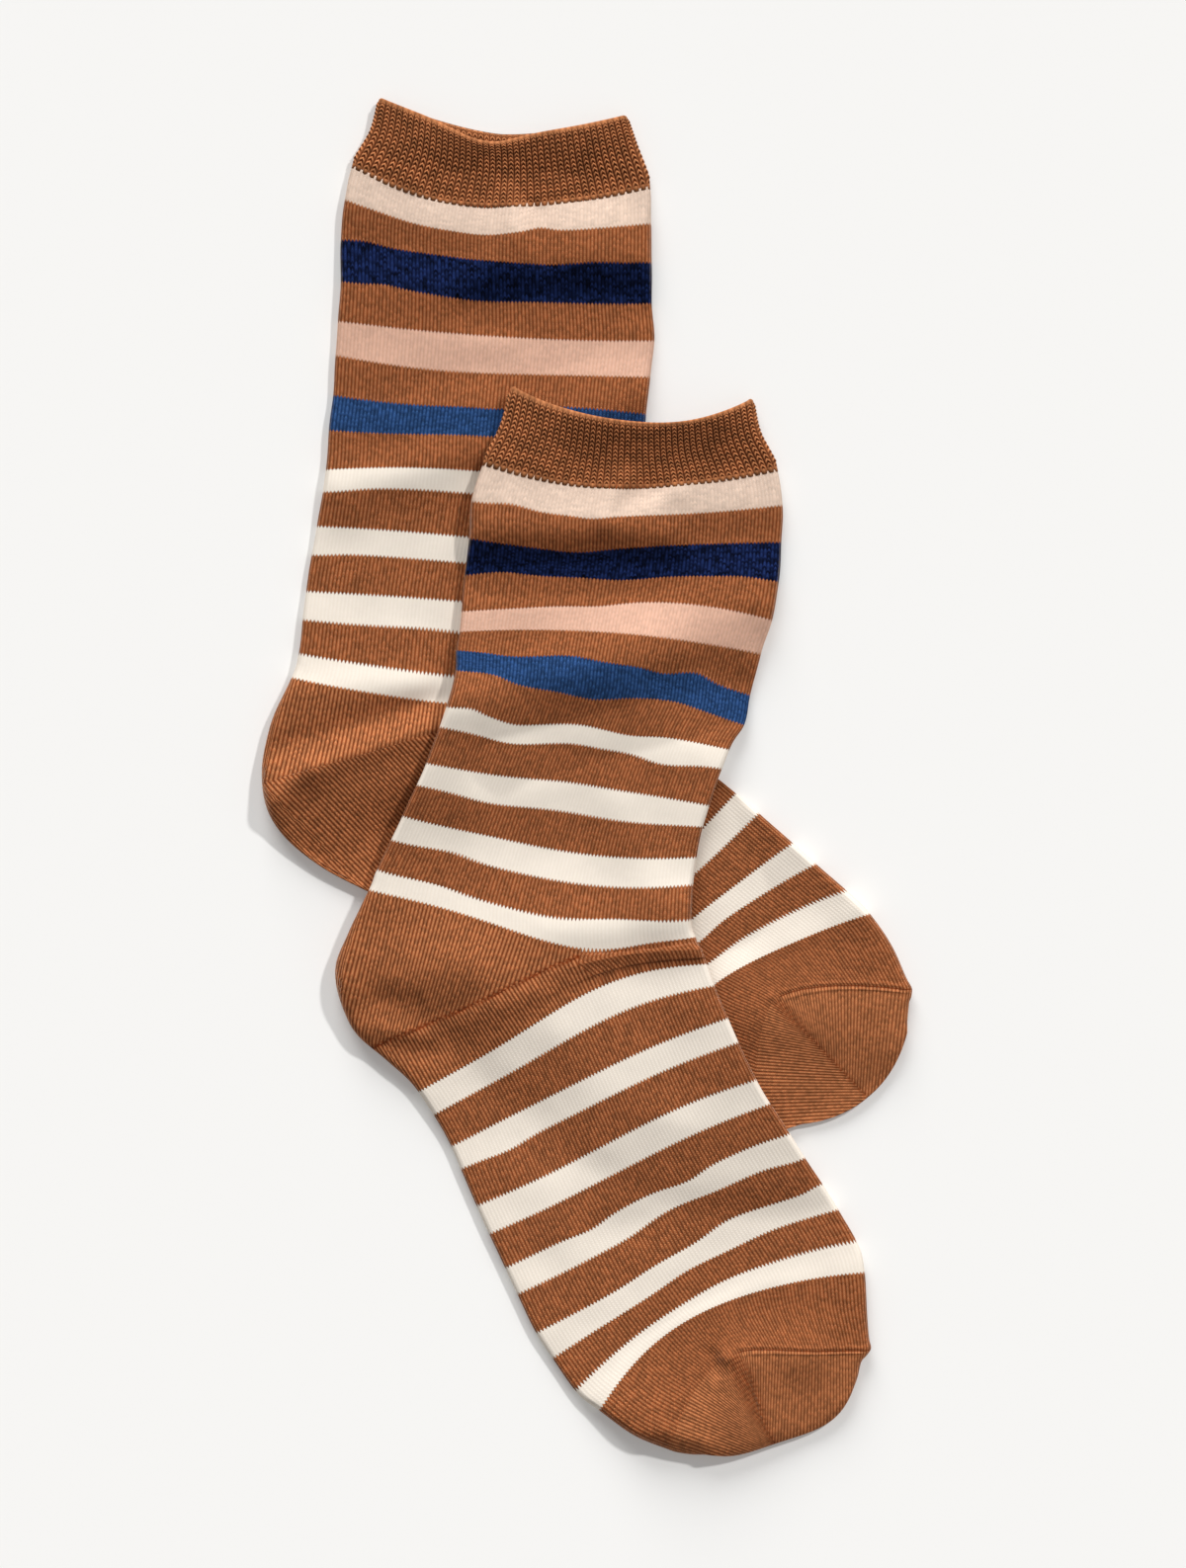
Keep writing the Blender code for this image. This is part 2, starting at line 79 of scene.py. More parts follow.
SECTION = ("place", "x", "y", "width", "turn", "sag", "skew", "height", "bow")
USUAL = {"height": 3.8, "bow": 2.0}   # what a row that leaves these out has
UNDER_SECTIONS = (
    ("cuff rim", -23.0, 199.0, 73.5, -4.0, 8.0, 0.0, 4.4, 1.6),
    ("cuff middle", -22.8, 190.5, 78.6, -3.0, 9.8, 0.0),
    ("cuff end", -23.5, 179.5, 88.5, -4.0, 9.0, 1.0),
    ("oat end", -24.5, 168.5, 91.5, -4.5, 6.5, 1.0, 4.8),
    ("navy start", -25.0, 156.5, 93.0, -4.0, 3.0, -0.5),
    ("navy end", -25.0, 144.5, 93.0, -4.0, 2.0, 0.0),
    ("rose start", -25.0, 133.0, 94.5, -3.5, 1.5, 0.0),
    ("rose end", -26.0, 122.5, 94.0, -4.0, 2.0, 0.5),
    ("blue start", -27.0, 111.0, 93.5, -3.5, 0.5, 1.0),
    ("blue end", -28.0, 100.5, 94.0, -3.5, -0.5, 0.5),
    ("leg band 1", -28.5, 89.5, 94.5, -2.5, -1.5, -0.5),
    ("leg band 2", -31.0, 72.0, 95.0, -3.5, 0.5, -0.5),
    ("leg band 3", -34.0, 53.5, 95.5, -2.5, 1.0, -0.5),
    ("leg band 4", -36.0, 36.0, 95.5, -1.5, 5.5, -1.0, 5.0),
    ("heel start", -37.0, 29.0, 97.5, -1.0, 7.0, -1.0, 5.4),
    ("heel back", -40.5, 20.0, 105.5, 7.0, 6.5, -0.5, 6.4),
    ("heel point", -41.0, 11.0, 111.0, 15.0, 0.0, -1.0, 7.0),
    ("heel turn", -38.0, 4.0, 110.5, 21.5, -1.5, 0.5, 7.0),
    ("heel under", -31.5, -1.5, 105.0, 28.5, -4.0, 1.0, 6.4),
    ("foot band 1", -22.0, -7.0, 95.0, 37.5, -4.5, 1.0, 5.2),
    ("foot band 2", -9.0, -15.5, 90.0, 41.0, -3.5, 2.0),
    ("foot band 3", 3.5, -26.0, 88.0, 44.0, -3.5, 1.5),
    ("foot band 4", 16.5, -37.0, 87.5, 47.5, -2.0, -1.0),
    ("foot band 5", 32.0, -51.0, 88.5, 45.5, -6.5, -1.5),
    ("foot band 6", 47.0, -64.0, 88.0, 44.0, -13.0, -1.5),
    ("toe start", 54.0, -69.5, 86.5, 42.0, -14.5, -2.5, 4.8),
    ("toe", 64.5, -77.0, 78.0, 44.0, -21.5, -0.5, 5.0, 1.8),
    ("seam", 75.5, -85.0, 63.0, 43.5, -26.0, 0.0, 5.2, 1.5),
    ("toe box 1", 77.5, -87.0, 56.5, 43.5, -15.5, 0.0, 5.2, 1.7),
    ("toe box 2", 79.5, -88.5, 49.0, 42.5, -4.5, 0.0, 5.0, 1.9),
    ("toe end", 81.5, -90.0, 42.0, 40.5, 7.0, 0.0, 4.6, 2.1),
)
OVER_SECTIONS = (
    ("cuff rim", 15.5, 113.5, 71.5, -2.5, 8.8, -0.5, 4.4, 2.2),
    ("cuff middle", 15.0, 103.5, 76.5, -1.0, 8.0, 0.0),
    ("cuff end", 15.0, 93.0, 87.0, -1.0, 6.5, 0.5),
    ("oat end", 14.0, 81.5, 92.5, -0.5, 4.0, 0.5, 4.8),
    ("navy start", 13.5, 70.5, 93.0, -0.5, 2.5, 1.0),
    ("navy end", 12.5, 59.0, 93.5, -1.0, -1.0, 0.5),
    ("rose start", 11.0, 48.0, 92.5, -1.5, -4.0, 1.0),
    ("rose end", 9.0, 40.0, 90.0, -4.0, -3.0, 0.0),
    ("blue start", 7.0, 31.0, 88.5, -8.5, -3.0, 0.5),
    ("blue end", 6.0, 23.5, 87.5, -10.5, -1.0, 1.5),
    ("leg band 1", 2.5, 14.5, 85.0, -8.5, 0.0, 1.0),
    ("leg band 2", -3.5, -2.0, 85.0, -8.5, 0.0, 0.5),
    ("leg band 3", -9.0, -17.5, 88.0, -8.0, 3.5, -0.5),
    ("leg band 4", -13.5, -34.5, 94.5, -9.0, 5.5, -1.0, 4.8),
    ("heel start", -14.0, -40.5, 98.0, -8.5, 6.5, -2.5, 5.2),
    ("heel back", -17.0, -48.0, 104.0, -1.5, 7.0, 1.5, 6.2),
    ("heel point", -18.5, -54.5, 109.0, 4.0, 6.0, 3.5, 7.0),
    ("heel turn", -16.0, -63.0, 107.0, 12.0, -1.0, 2.5, 7.0),
    ("heel under", -10.5, -69.0, 99.5, 18.0, -4.0, 2.0, 6.2),
    ("foot band 1", -5.5, -74.5, 94.0, 24.0, -5.5, 2.0, 5.0),
    ("foot band 2", 2.5, -90.5, 91.0, 25.0, -1.5, 0.5),
    ("foot band 3", 10.5, -108.5, 91.5, 24.5, -1.0, 1.0),
    ("foot band 4", 19.5, -125.5, 93.5, 26.0, -0.5, 0.5),
    ("foot band 5", 29.5, -143.5, 96.0, 27.0, -1.5, 1.0),
    ("foot band 6", 40.0, -160.0, 95.0, 28.0, -7.5, 0.0),
    ("toe start", 45.0, -168.0, 89.5, 27.5, -11.5, -1.0, 4.8),
    ("toe", 50.5, -177.5, 79.0, 28.0, -16.5, -1.0, 5.0, 1.8),
    ("seam", 56.0, -185.5, 67.0, 26.5, -17.0, -2.5, 5.2, 1.5),
    ("toe box 1", 57.0, -188.0, 60.0, 27.0, -9.5, -1.5, 5.2),
    ("toe box 2", 58.5, -190.5, 53.5, 25.5, -1.5, -1.0, 5.0, 3.0),
    ("toe end", 60.0, -192.5, 46.0, 24.0, 5.5, -0.8, 4.6, 4.0),
)
PLACES = [row[0] for row in UNDER_SECTIONS]
print("sections a sock:", len(PLACES), "from", PLACES[0], "to", PLACES[-1])

# %% [markdown]
# ## Folds
# Cloth that lies flat is never quite flat.  Each row is a soft ridge (a rise over 0) or a
# soft trough (under 0) along a short line, with the half width at which it has faded.

# %% The folds of each sock
# Place, x and y of the line's two ends, half width and rise.
UNDER_FOLDS = (
    ("roll of the cuff", -44.0, 191.0, 6.0, 191.0, 6.5, 1.3),
    ("hollow of the cuff", -40.0, 177.0, 4.0, 176.0, 6.5, -1.5),
    ("gather under the cuff", -20.5, 174.0, -18.5, 160.0, 4.0, 1.5),
    ("valley beside it", -12.5, 174.0, -11.0, 154.0, 4.5, -1.5),
    ("swell in the navy", -66.0, 145.0, -34.0, 146.0, 8.0, 1.2),
    ("swell over the roll", -20.0, 161.0, 12.0, 162.0, 8.0, 1.9),
    ("roll in the navy", -25.0, 152.0, 16.0, 153.5, 6.5, 3.2),
    ("hollow in the navy", -30.0, 139.0, 14.0, 140.5, 6.0, -2.2),
    ("swell under the rose", -70.0, 104.0, -30.0, 112.0, 7.0, 1.3),
    ("roll under the blue", -70.0, 85.0, 19.0, 113.0, 8.5, 2.5),
    ("hollow over the roll", -66.0, 108.0, 6.0, 131.0, 8.0, -1.1),
    ("swell of the leg", -62.0, 134.0, -60.0, 110.0, 9.0, 0.7),
    ("roll over the heel", -84.0, 24.5, -50.0, 28.0, 5.5, 1.5),
    ("hollow over the heel", -91.0, 8.0, -44.0, 21.5, 4.5, -1.9),
    ("heel gore, outer", -92.5, -8.0, -80.5, 1.5, 4.5, 2.4),
    ("heel gore, inner", -79.0, 2.5, -42.0, 16.5, 4.5, 2.5),
    ("swell of the heel", -82.0, 0.0, -46.0, 9.0, 12.0, 1.8),
    ("heel hollow", -80.0, -29.0, -46.0, -17.0, 14.0, -3.8),
    ("pressed under the leg", 8.0, 96.0, -10.0, 12.0, 28.0, -1.2),
    ("pressed under the heel", -6.0, -20.0, 36.0, -82.0, 24.0, -1.8),
    ("pressed at the ankle", 32.0, 8.0, 46.0, -38.0, 14.0, -2.2),
    ("roll beside the leg", 60.0, -8.0, 84.0, -36.0, 9.0, 1.9),
    ("knot of the toe", 56.0, -65.3, 56.5, -65.5, 2.0, 0.5),
    ("toe swell", 50.0, -70.0, 68.0, -71.0, 12.0, 2.9),
    ("toe hollow", 54.0, -108.0, 84.0, -101.0, 14.0, -2.6),
    ("toe edge", 88.0, -68.0, 91.0, -80.0, 6.0, 0.7),
)
OVER_FOLDS = (
    ("roll of the cuff", -2.0, 107.0, 42.0, 108.0, 6.5, 2.3),
    ("hollow of the cuff", 2.0, 93.0, 44.0, 94.0, 6.5, -1.0),
    ("gather under the cuff", 12.0, 88.0, 6.0, 78.0, 3.5, 1.4),
    ("second gather", 21.0, 87.0, 14.0, 77.0, 3.5, -1.3),
    ("slanting gather", 8.0, 74.0, 29.0, 84.0, 3.5, 1.2),
    ("swell over the roll", -20.0, 79.5, 16.0, 80.5, 8.0, 1.3),
    ("roll in the navy", -28.0, 72.0, 24.0, 72.5, 6.5, 3.3),
    ("hollow in the navy", -28.0, 58.5, 26.0, 60.0, 6.0, -2.5),
    ("swell at the navy's end", 36.0, 58.0, 56.0, 60.0, 7.0, 1.5),
    ("roll of the leg", -36.0, 22.0, 52.0, 50.0, 8.5, 3.2),
    ("valley of the leg", -26.0, 4.0, 50.0, 23.0, 8.0, -2.6),
    ("second roll of the leg", -6.0, 26.0, 44.0, 38.0, 6.0, 0.9),
    ("crease in the blue", 22.0, 29.0, 36.0, 33.0, 3.0, -0.7),
    ("hollow by the creams", -22.0, -8.0, -16.0, -24.0, 7.0, -0.7),
    ("swell by the ankle", 12.0, -10.0, 24.0, -38.0, 9.0, 1.4),
    ("ankle roll", -8.0, -46.5, 35.0, -41.0, 8.0, 1.9),
    ("ankle crease", -2.0, -60.0, 34.0, -54.5, 9.0, -0.9),
    ("heel swell", -66.0, -60.0, -36.0, -57.0, 10.0, 2.6),
    ("heel gore", -41.0, -70.0, -14.0, -59.4, 2.5, -0.5),
    ("lip of the gore", -38.0, -73.5, -14.0, -64.0, 4.0, 0.7),
    ("heel crease", -62.0, -66.0, -49.0, -67.0, 3.0, -0.5),
    ("heel ridge", -61.0, -74.5, -46.0, -77.0, 3.6, 1.1),
    ("crease under the ridge", -60.0, -80.5, -45.0, -82.0, 3.0, -0.9),
    ("roll of the foot", 8.0, -107.0, 62.0, -95.0, 10.0, 0.3),
    ("swell of the sole", -18.0, -118.0, -4.0, -142.0, 8.0, 0.9),
    ("hollow of the foot", -6.0, -144.0, 16.0, -132.0, 7.0, -0.7),
    ("fill of the instep", 14.0, -124.0, 56.0, -121.0, 9.0, 0.6),
    ("knot of the toe", 43.2, -172.5, 43.8, -172.8, 1.8, 1.2),
    ("dent beside the knot", 39.0, -172.0, 41.0, -177.0, 2.0, -1.0),
    ("toe swell", 20.0, -193.0, 46.0, -189.0, 14.0, 3.4),
    ("seam swell", 47.0, -172.5, 67.0, -172.5, 8.0, 2.8),
    ("crease by the toe", 24.0, -198.5, 36.0, -202.0, 2.2, -1.5),
    ("roll by the toe", 24.0, -194.0, 38.0, -198.0, 3.0, 0.9),
)
print("folds:", len(UNDER_FOLDS), "and", len(OVER_FOLDS))

# %% [markdown]
# ## Bands that stray
# No band runs quite true: the cloth is stretched here and gathered there.  Each row moves
# the bands round one place down the sock by some courses (up, if under 0).

# %% Where the bands of each sock stray
# Place, x, y, half width across the sock and down it, and courses.
UNDER_STRAYS = (
    ("oatmeal, back", -56.0, 174.0, 9.0, 8.0, -1.3),
    ("oatmeal, middle", -28.0, 166.0, 8.0, 9.0, 1.8),
    ("oatmeal at the gather", -12.0, 168.0, 4.5, 9.0, -3.0),
    ("oatmeal, front", 1.0, 171.0, 6.0, 4.0, 1.2),
    ("navy top, back", -64.0, 160.0, 7.0, 4.0, -1.6),
    ("navy top, front", 4.0, 153.0, 9.0, 4.0, -1.3),
    ("navy foot, back", -58.0, 146.5, 6.0, 4.0, -1.2),
    ("navy foot, middle", -32.0, 142.0, 14.0, 4.0, 1.3),
    ("blue top", -25.0, 110.0, 8.0, 4.0, 1.4),
    ("blue foot", -38.0, 102.0, 18.0, 3.0, -1.2),
    ("first cream, back", -74.0, 85.0, 9.0, 3.0, 1.3),
    ("second cream, back", -79.0, 66.5, 7.0, 3.0, 1.0),
    ("third cream", -42.0, 45.0, 18.0, 4.0, -1.1),
    ("third cream, front", -9.0, 44.0, 14.0, 4.0, -1.6),
    ("second foot cream", 12.5, 9.0, 5.0, 5.0, -2.0),
    ("third foot cream", 26.0, 0.5, 5.0, 5.0, -1.5),
    ("fifth foot cream", 36.0, -49.0, 6.0, 6.0, 2.0),
)
OVER_STRAYS = (
    ("oatmeal, back", -19.5, 87.0, 7.5, 10.0, -3.1),
    ("oatmeal, middle", 13.0, 86.0, 9.0, 4.0, 1.6),
    ("oatmeal foot", 4.0, 77.0, 5.5, 4.0, 1.3),
    ("navy top", -1.0, 67.0, 8.0, 3.0, 1.5),
    ("navy foot, back", -23.0, 60.5, 9.0, 4.0, -2.4),
    ("navy foot, middle", 13.0, 58.8, 12.0, 4.0, 2.8),
    ("navy foot, front", 48.0, 60.0, 8.0, 4.0, -1.1),
    ("rose top", 5.0, 51.0, 9.0, 3.0, 1.7),
    ("blue top, back", -21.0, 36.0, 7.0, 3.0, 1.3),
    ("blue top, middle", -3.0, 35.5, 8.0, 3.0, -1.8),
    ("blue top, valley", 24.0, 30.5, 5.0, 3.0, 1.2),
    ("blue top, front", 35.0, 31.0, 6.5, 3.5, -2.9),
    ("blue foot, back", -27.0, 30.0, 8.0, 3.5, -3.1),
    ("blue foot, middle", 4.0, 23.0, 9.0, 3.5, 2.6),
    ("blue foot, front", 28.0, 22.0, 10.0, 3.5, -1.4),
    ("first cream, back", -32.0, 20.0, 5.0, 3.0, -1.5),
    ("first cream, dip", -20.0, 13.5, 7.0, 5.0, 2.5),
    ("first cream, middle", -2.0, 12.5, 8.0, 6.0, -1.7),
    ("first cream top, front", 15.5, 12.5, 8.0, 3.0, 2.0),
    ("first cream foot, front", 25.0, 4.0, 10.0, 4.0, 2.9),
    ("second cream top", -3.5, -1.0, 14.0, 3.0, -1.0),
    ("second cream foot, back", -27.0, -8.0, 14.0, 3.5, 1.6),
    ("second cream foot, front", 16.0, -13.0, 18.0, 4.0, 1.2),
    ("third cream foot", -37.0, -22.0, 13.0, 3.5, -1.6),
    ("fourth cream top, back", -42.0, -32.0, 13.0, 3.5, -1.1),
    ("fourth cream top, front", 11.0, -42.0, 12.0, 3.5, -2.3),
    ("fourth cream foot, front", 22.0, -49.5, 13.0, 3.5, -3.1),
    ("second foot cream", -22.0, -111.0, 12.0, 4.0, 1.1),
    ("fourth foot cream, back", 2.5, -134.5, 8.0, 4.0, 1.2),
    ("fourth foot cream, front", 31.0, -120.0, 9.0, 4.0, 1.8),
    ("fourth foot cream, fold", 65.0, -112.0, 8.0, 8.0, 2.2),
    ("fifth foot cream top", 38.0, -131.0, 20.0, 6.0, -2.8),
    ("fifth foot cream, fold", 71.0, -121.0, 4.0, 5.0, -1.5),
    ("fifth foot cream foot", 31.0, -147.0, 17.0, 6.0, -1.4),
)
print("strays:", len(UNDER_STRAYS), "and", len(OVER_STRAYS))

# %% [markdown]
# ## The flattened tube
# A point of the sock is found from t, its row in the table, and its way round: 0 at the
# back fold, 0.5 at the front fold, and back to 1 along the underside.

# %% One sock as a surface of two parameters
def column_between(column, t):
    """A column of the table at fractional rows t, along a Catmull-Rom curve."""
    last = len(column) - 1
    padded = np.concatenate(([2 * column[0] - column[1]], column,
                             [2 * column[-1] - column[-2]]))
    k = np.clip(np.floor(t).astype(int), 0, last - 1)
    u = t - k
    before, start, end, after = (padded[k + step] for step in range(4))
    return start + 0.5 * u * (end - before + u * (
        2 * before - 5 * start + 4 * end - after + u * (3 * (start - end) + after - before)))


def smooth(value):
    """A soft step from 0 to 1 while the value goes from 0 to 1."""
    value = np.clip(value, 0.0, 1.0)
    return value * value * (3.0 - 2.0 * value)


def fold_relief(folds, x, y):
    """Sum of the folds: the rise times exp(-(distance to the fold's line / half width)^2)."""
    relief = np.zeros_like(x)
    for place, x0, y0, x1, y1, half_width, rise in folds:
        run = np.array((x1 - x0, y1 - y0))
        share = np.clip(((x - x0) * run[0] + (y - y0) * run[1]) / (run @ run), 0.0, 1.0)
        away = np.hypot(x - x0 - share * run[0], y - y0 - share * run[1])
        relief += rise * np.exp(-(away / half_width) ** 2)
    return relief


class Sock:
    """One sock: its tables, what it lies on, and its surface."""

    def __init__(self, name, sections, folds, strays, ground):
        self.name = name
        rows = [{**USUAL, **dict(zip(SECTION, row))} for row in sections]
        self.rows = {key: np.array([row[key] for row in rows]) for key in SECTION[1:]}
        self.folds = folds
        self.strays = strays
        self.ground = ground
        self.last = len(sections) - 1

    def section(self, t):
        """The section at t.  Its face is as long as its flat part and two quarter rounds."""
        now = {name: column_between(column, t)[:, None] for name, column in self.rows.items()}
        now["half"] = now["height"] / 2
        now["reach"] = np.minimum(FOLD_REACH * now["half"], FOLD_LIMIT * now["width"])
        now["arc"] = np.pi / 2 * np.sqrt((now["reach"] ** 2 + now["half"] ** 2) / 2)
        now["flat"] = now["width"] - 2 * now["reach"]
        now["face"] = now["flat"] + 2 * now["arc"]
        return now

    def surface(self, t, way, offset=0.0, unrolled=False):
        """Points at rows t and ways, moved out of the wall by the offset (into it if under
        0).  Round each fold the section is a quarter ellipse; between the folds it is flat.
        Across = the distance along the chord from its middle.  Unrolled, each fold is laid
        out flat beyond its face, and across is counted along the cloth."""
        now = self.section(t)
        upper = way <= 0.5
        length = np.where(upper, 2 * way, 2 - 2 * way) * now["face"]
        back = np.pi / 2 * np.clip(length / now["arc"], 0, 1)
        front = np.pi / 2 * np.clip((now["face"] - length) / now["arc"], 0, 1)
        distance = (now["reach"] * (1 - np.cos(back) + np.cos(front))
                    + np.clip(length - now["arc"], 0, now["flat"]))
        across = length - now["face"] / 2 if unrolled else distance - now["width"] / 2
        share = across / now["width"] + 0.5
        sag = (now["sag"] * (1 - np.abs(2 * share - 1) ** now["bow"])
               + now["skew"] * np.sin(2 * np.pi * share))
        open_end = np.clip(1 - t[:, None], 0, 1) ** 2
        gape = np.exp(-((share - SLIT_PLACE) / SLIT_REACH) ** 2)
        sag = np.where(upper, sag + SLIT_DEPTH[self.name] * open_end * gape, sag)
        outward = np.cos(front) - np.cos(back)
        lift = np.sin(back) * np.sin(front)
        offset = np.where(upper | (offset < 0), offset, offset * (1 - lift))
        run = across + offset * outward
        turn = np.radians(now["turn"])
        x = now["x"] + run * np.cos(turn) + sag * np.sin(turn)
        y = now["y"] + run * np.sin(turn) - sag * np.cos(turn)
        inset = np.minimum(distance, now["width"] - distance)
        thin = smooth((inset - DISH_START) / (DISH_END - DISH_START))
        depth = now["height"] * (1 - DISH * thin) + fold_relief(self.folds, x, y) * lift
        depth = np.maximum(depth, 2 * WALL + LEAST_HOLLOW)
        rise = np.where(upper, depth - now["half"] + offset, -now["half"] - offset) * lift
        close = 1 - np.clip((self.last - t[:, None]) / TOE_ROUND, 0, 1)
        z = self.ground(x, y) + now["half"] + rise * np.sqrt(1 - close ** 2)
        return np.stack((x, y, z), axis=-1)


def table_top(x, y):
    """The under sock lies on the table."""
    return np.zeros_like(x)


def spread(height, cells, reduce):
    """Highest or mean value of a height map within a round of cells."""
    reach = range(-cells, cells + 1)
    moved = [np.roll(height, (i, j), axis=(0, 1)) for i in reach for j in reach
             if i * i + j * j <= cells * cells]
    return reduce(moved, axis=0)


def draped_over(sock):
    """Height of cloth laid over a sock: the sock's top, widened and then smoothed.  The
    clearance sets in over the first millimetre of height."""
    rings, count = DRAPE_SAMPLES
    t = np.linspace(0.0, sock.last, rings)
    way = np.tile(np.linspace(0.0, 0.5, count), (rings, 1))
    top = sock.surface(t, way).reshape(-1, 3)
    corner = top[:, :2].min(axis=0) - DRAPE_MARGIN
    size = np.ceil((top[:, :2].max(axis=0) + DRAPE_MARGIN - corner) / DRAPE_CELL).astype(int)
    cell = np.round((top[:, :2] - corner) / DRAPE_CELL).astype(int)
    height = np.zeros(size + 1)
    np.maximum.at(height, (cell[:, 0], cell[:, 1]), top[:, 2])
    reach = int(DRAPE_REACH / DRAPE_CELL)
    height = spread(spread(height, reach, np.max), reach, np.mean)
    height = spread(height + CLEARANCE * np.minimum(height, 1.0), SOFT_CELLS, np.mean)
    inside = np.array(height.shape) - 1.001   # so that the next cell is inside as well

    def ground(x, y):
        """The map read between its cells: a straight mix of the four cells round a place."""
        across = np.clip((x - corner[0]) / DRAPE_CELL, 0, inside[0])
        along = np.clip((y - corner[1]) / DRAPE_CELL, 0, inside[1])
        i = across.astype(int)
        j = along.astype(int)
        u = across - i
        v = along - j
        low = height[i, j] * (1 - u) + height[i + 1, j] * u
        high = height[i, j + 1] * (1 - u) + height[i + 1, j + 1] * u
        return low * (1 - v) + high * v

    return ground


under = Sock("sock_under", UNDER_SECTIONS, UNDER_FOLDS, UNDER_STRAYS, table_top)
over = Sock("sock_over", OVER_SECTIONS, OVER_FOLDS, OVER_STRAYS, draped_over(under))
for sock in (under, over):
    t = np.linspace(PLACES.index("cuff end"), sock.last, LINE_SAMPLES)
    edge = sock.surface(t, np.tile((0.0, 0.5), (len(t), 1)))
    print(sock.name, "back and front fold in mm:",
          np.linalg.norm(np.diff(edge, axis=0), axis=2).sum(axis=0).round())

# %% [markdown]
# ## Where each stitch runs
# The knit has its own coordinates.  U counts the wales (columns of stitches) round the
# tube and V counts the courses (rows of stitches) down from the cuff.  On the leg and the
# foot both follow the table.  In the heel and the toe the courses lie side by side with
# the pocket's own edge, so that two sets of them meet in a slanting line, the gore.

# %% Courses, bands and the two pockets
WALES = 176                  # stitches round the tube
COURSE = 0.70                # height of a course of the plain knit, in mm
CREAM_COURSES = 10           # a cream band, out of every 25 courses
CREAM_REPEAT = 25
LEG_BANDS = {f"leg band {k + 1}": 129 + k * CREAM_REPEAT for k in range(4)}
FOOT_BANDS = {f"foot band {k + 1}": 229 + k * CREAM_REPEAT for k in range(6)}
ROW_COURSES = {"cuff rim": -30, "cuff end": 0, "oat end": 16, "navy start": 32,
               "navy end": 49, "rose start": 65, "rose end": 81, "blue start": 97,
               "blue end": 113, **LEG_BANDS, "heel start": 214, **FOOT_BANDS,
               "toe start": 364, "toe": 382, "seam": 402, "toe end": 436}
# Share of the way to the next band at which each cream band ends: leg 1 to 3, foot 1 to 5.
CREAM_ROWS = [*LEG_BANDS][:-1] + [*FOOT_BANDS][:-1]
CREAM_SHARES = {"sock_under": (0.37, 0.41, 0.43, 0.40, 0.40, 0.42, 0.42, 0.41),
                "sock_over": (0.37, 0.41, 0.42, 0.46, 0.39, 0.46, 0.40, 0.41)}
# A pocket is knitted from both of its edges, and the two halves meet in the gore.  The
# heel's gore starts "below" the leg's last course and "above" the foot's first one, and
# gains one millimetre on the foot's for each "pull" on the leg's.  The star is the share of
# the face at which the pocket ends, and the corner that at which the toe's edge turns.
# The ladder is how deep the holes along the heel's gore are, and how dark their painted shade is.
POCKET = {"sock_under": dict(star=0.62, below=0.0, above=14.5, pull=0.96, corner=0.50,
                             ladder=0.25),
          "sock_over": dict(star=0.65, below=3.5, above=10.8, pull=6.0, corner=0.45,
                            ladder=0.90)}
TOE_SPREAD = 1.5             # a mm from the toe's gore, the distances to its edges differ by this
HEEL_COURSES = 1000          # added to V in the heel, so that no band is counted there,
HEEL_FOOT_COURSES = 800      # in the half of the heel beside the foot
TOE_COURSES = 2000           # and in the half of the toe below the linking seam
PLAIN, HEEL, TOE = range(3)  # the regions of a sock
FAR = -99.0                  # distance from a gore where there is none
SAME = 0.001                 # rows this near to each other count as one
PAST_SAMPLES = 160           # points by which a course line is carried on past a fold,
TANGENT = (20, 50)           # in the direction from the second of these points to the first


def course_of_row(sock, t):
    """V at rows t: the counted rows, with the end of each cream band set in between."""
    rows = [PLACES.index(place) for place in ROW_COURSES]
    counts = list(ROW_COURSES.values())
    ends = [PLACES.index(p) + s for p, s in zip(CREAM_ROWS, CREAM_SHARES[sock.name])]
    counts += [ROW_COURSES[place] + CREAM_COURSES for place in CREAM_ROWS]
    order = np.argsort(rows + ends)
    return np.interp(t, np.array(rows + ends)[order], np.array(counts)[order])


def stray(sock, x, y):
    """Courses by which the bands have strayed down the sock: a sum of soft round hills."""
    total = np.zeros_like(x)
    for place, x0, y0, along, across, courses in sock.strays:
        total += courses * np.exp(-((x - x0) / along) ** 2 - ((y - y0) / across) ** 2)
    return total


def nearest_on_row(sock, row, points, first=0.0, last=0.5):
    """Distance in plan from unrolled points to a row's course line, and U at the nearest
    place.  The line runs straight on past a fold, at the spacing that it has in the middle."""
    way = np.linspace(first, last, LINE_SAMPLES)
    line = sock.surface(np.array([float(row)]), way[None, :], unrolled=True)[0, :, :2]
    middle = LINE_SAMPLES // 2
    stride = np.linalg.norm(line[middle] - line[middle - 1])
    past = np.arange(1, PAST_SAMPLES + 1)
    near, far = TANGENT
    if first == 0.0:
        course = (line[near] - line[far]) / np.linalg.norm(line[near] - line[far])
        line = np.concatenate((line[0] + stride * past[::-1, None] * course, line))
        way = np.concatenate((way[0] - (way[1] - way[0]) * past[::-1], way))
    if last == 0.5:
        course = (line[-near] - line[-far]) / np.linalg.norm(line[-near] - line[-far])
        line = np.concatenate((line, line[-1] + stride * past[:, None] * course))
        way = np.concatenate((way, way[-1] + (way[-1] - way[-2]) * past))
    flat = points[..., :2].reshape(-1, 2)
    nearest = np.linalg.norm(flat[:, None, :] - line[None, :, :], axis=2).argmin(axis=1)
    along = np.gradient(line, axis=0)[nearest]
    away = flat - line[nearest]
    step = np.clip((away * along).sum(axis=1) / (along ** 2).sum(axis=1), -0.5, 0.5)
    gap = np.linalg.norm(away - step[:, None] * along, axis=1)
    u = WALES * (way[nearest] + step * (way[-1] - way[0]) / (len(way) - 1))
    return gap.reshape(points.shape[:-1]), u.reshape(points.shape[:-1])


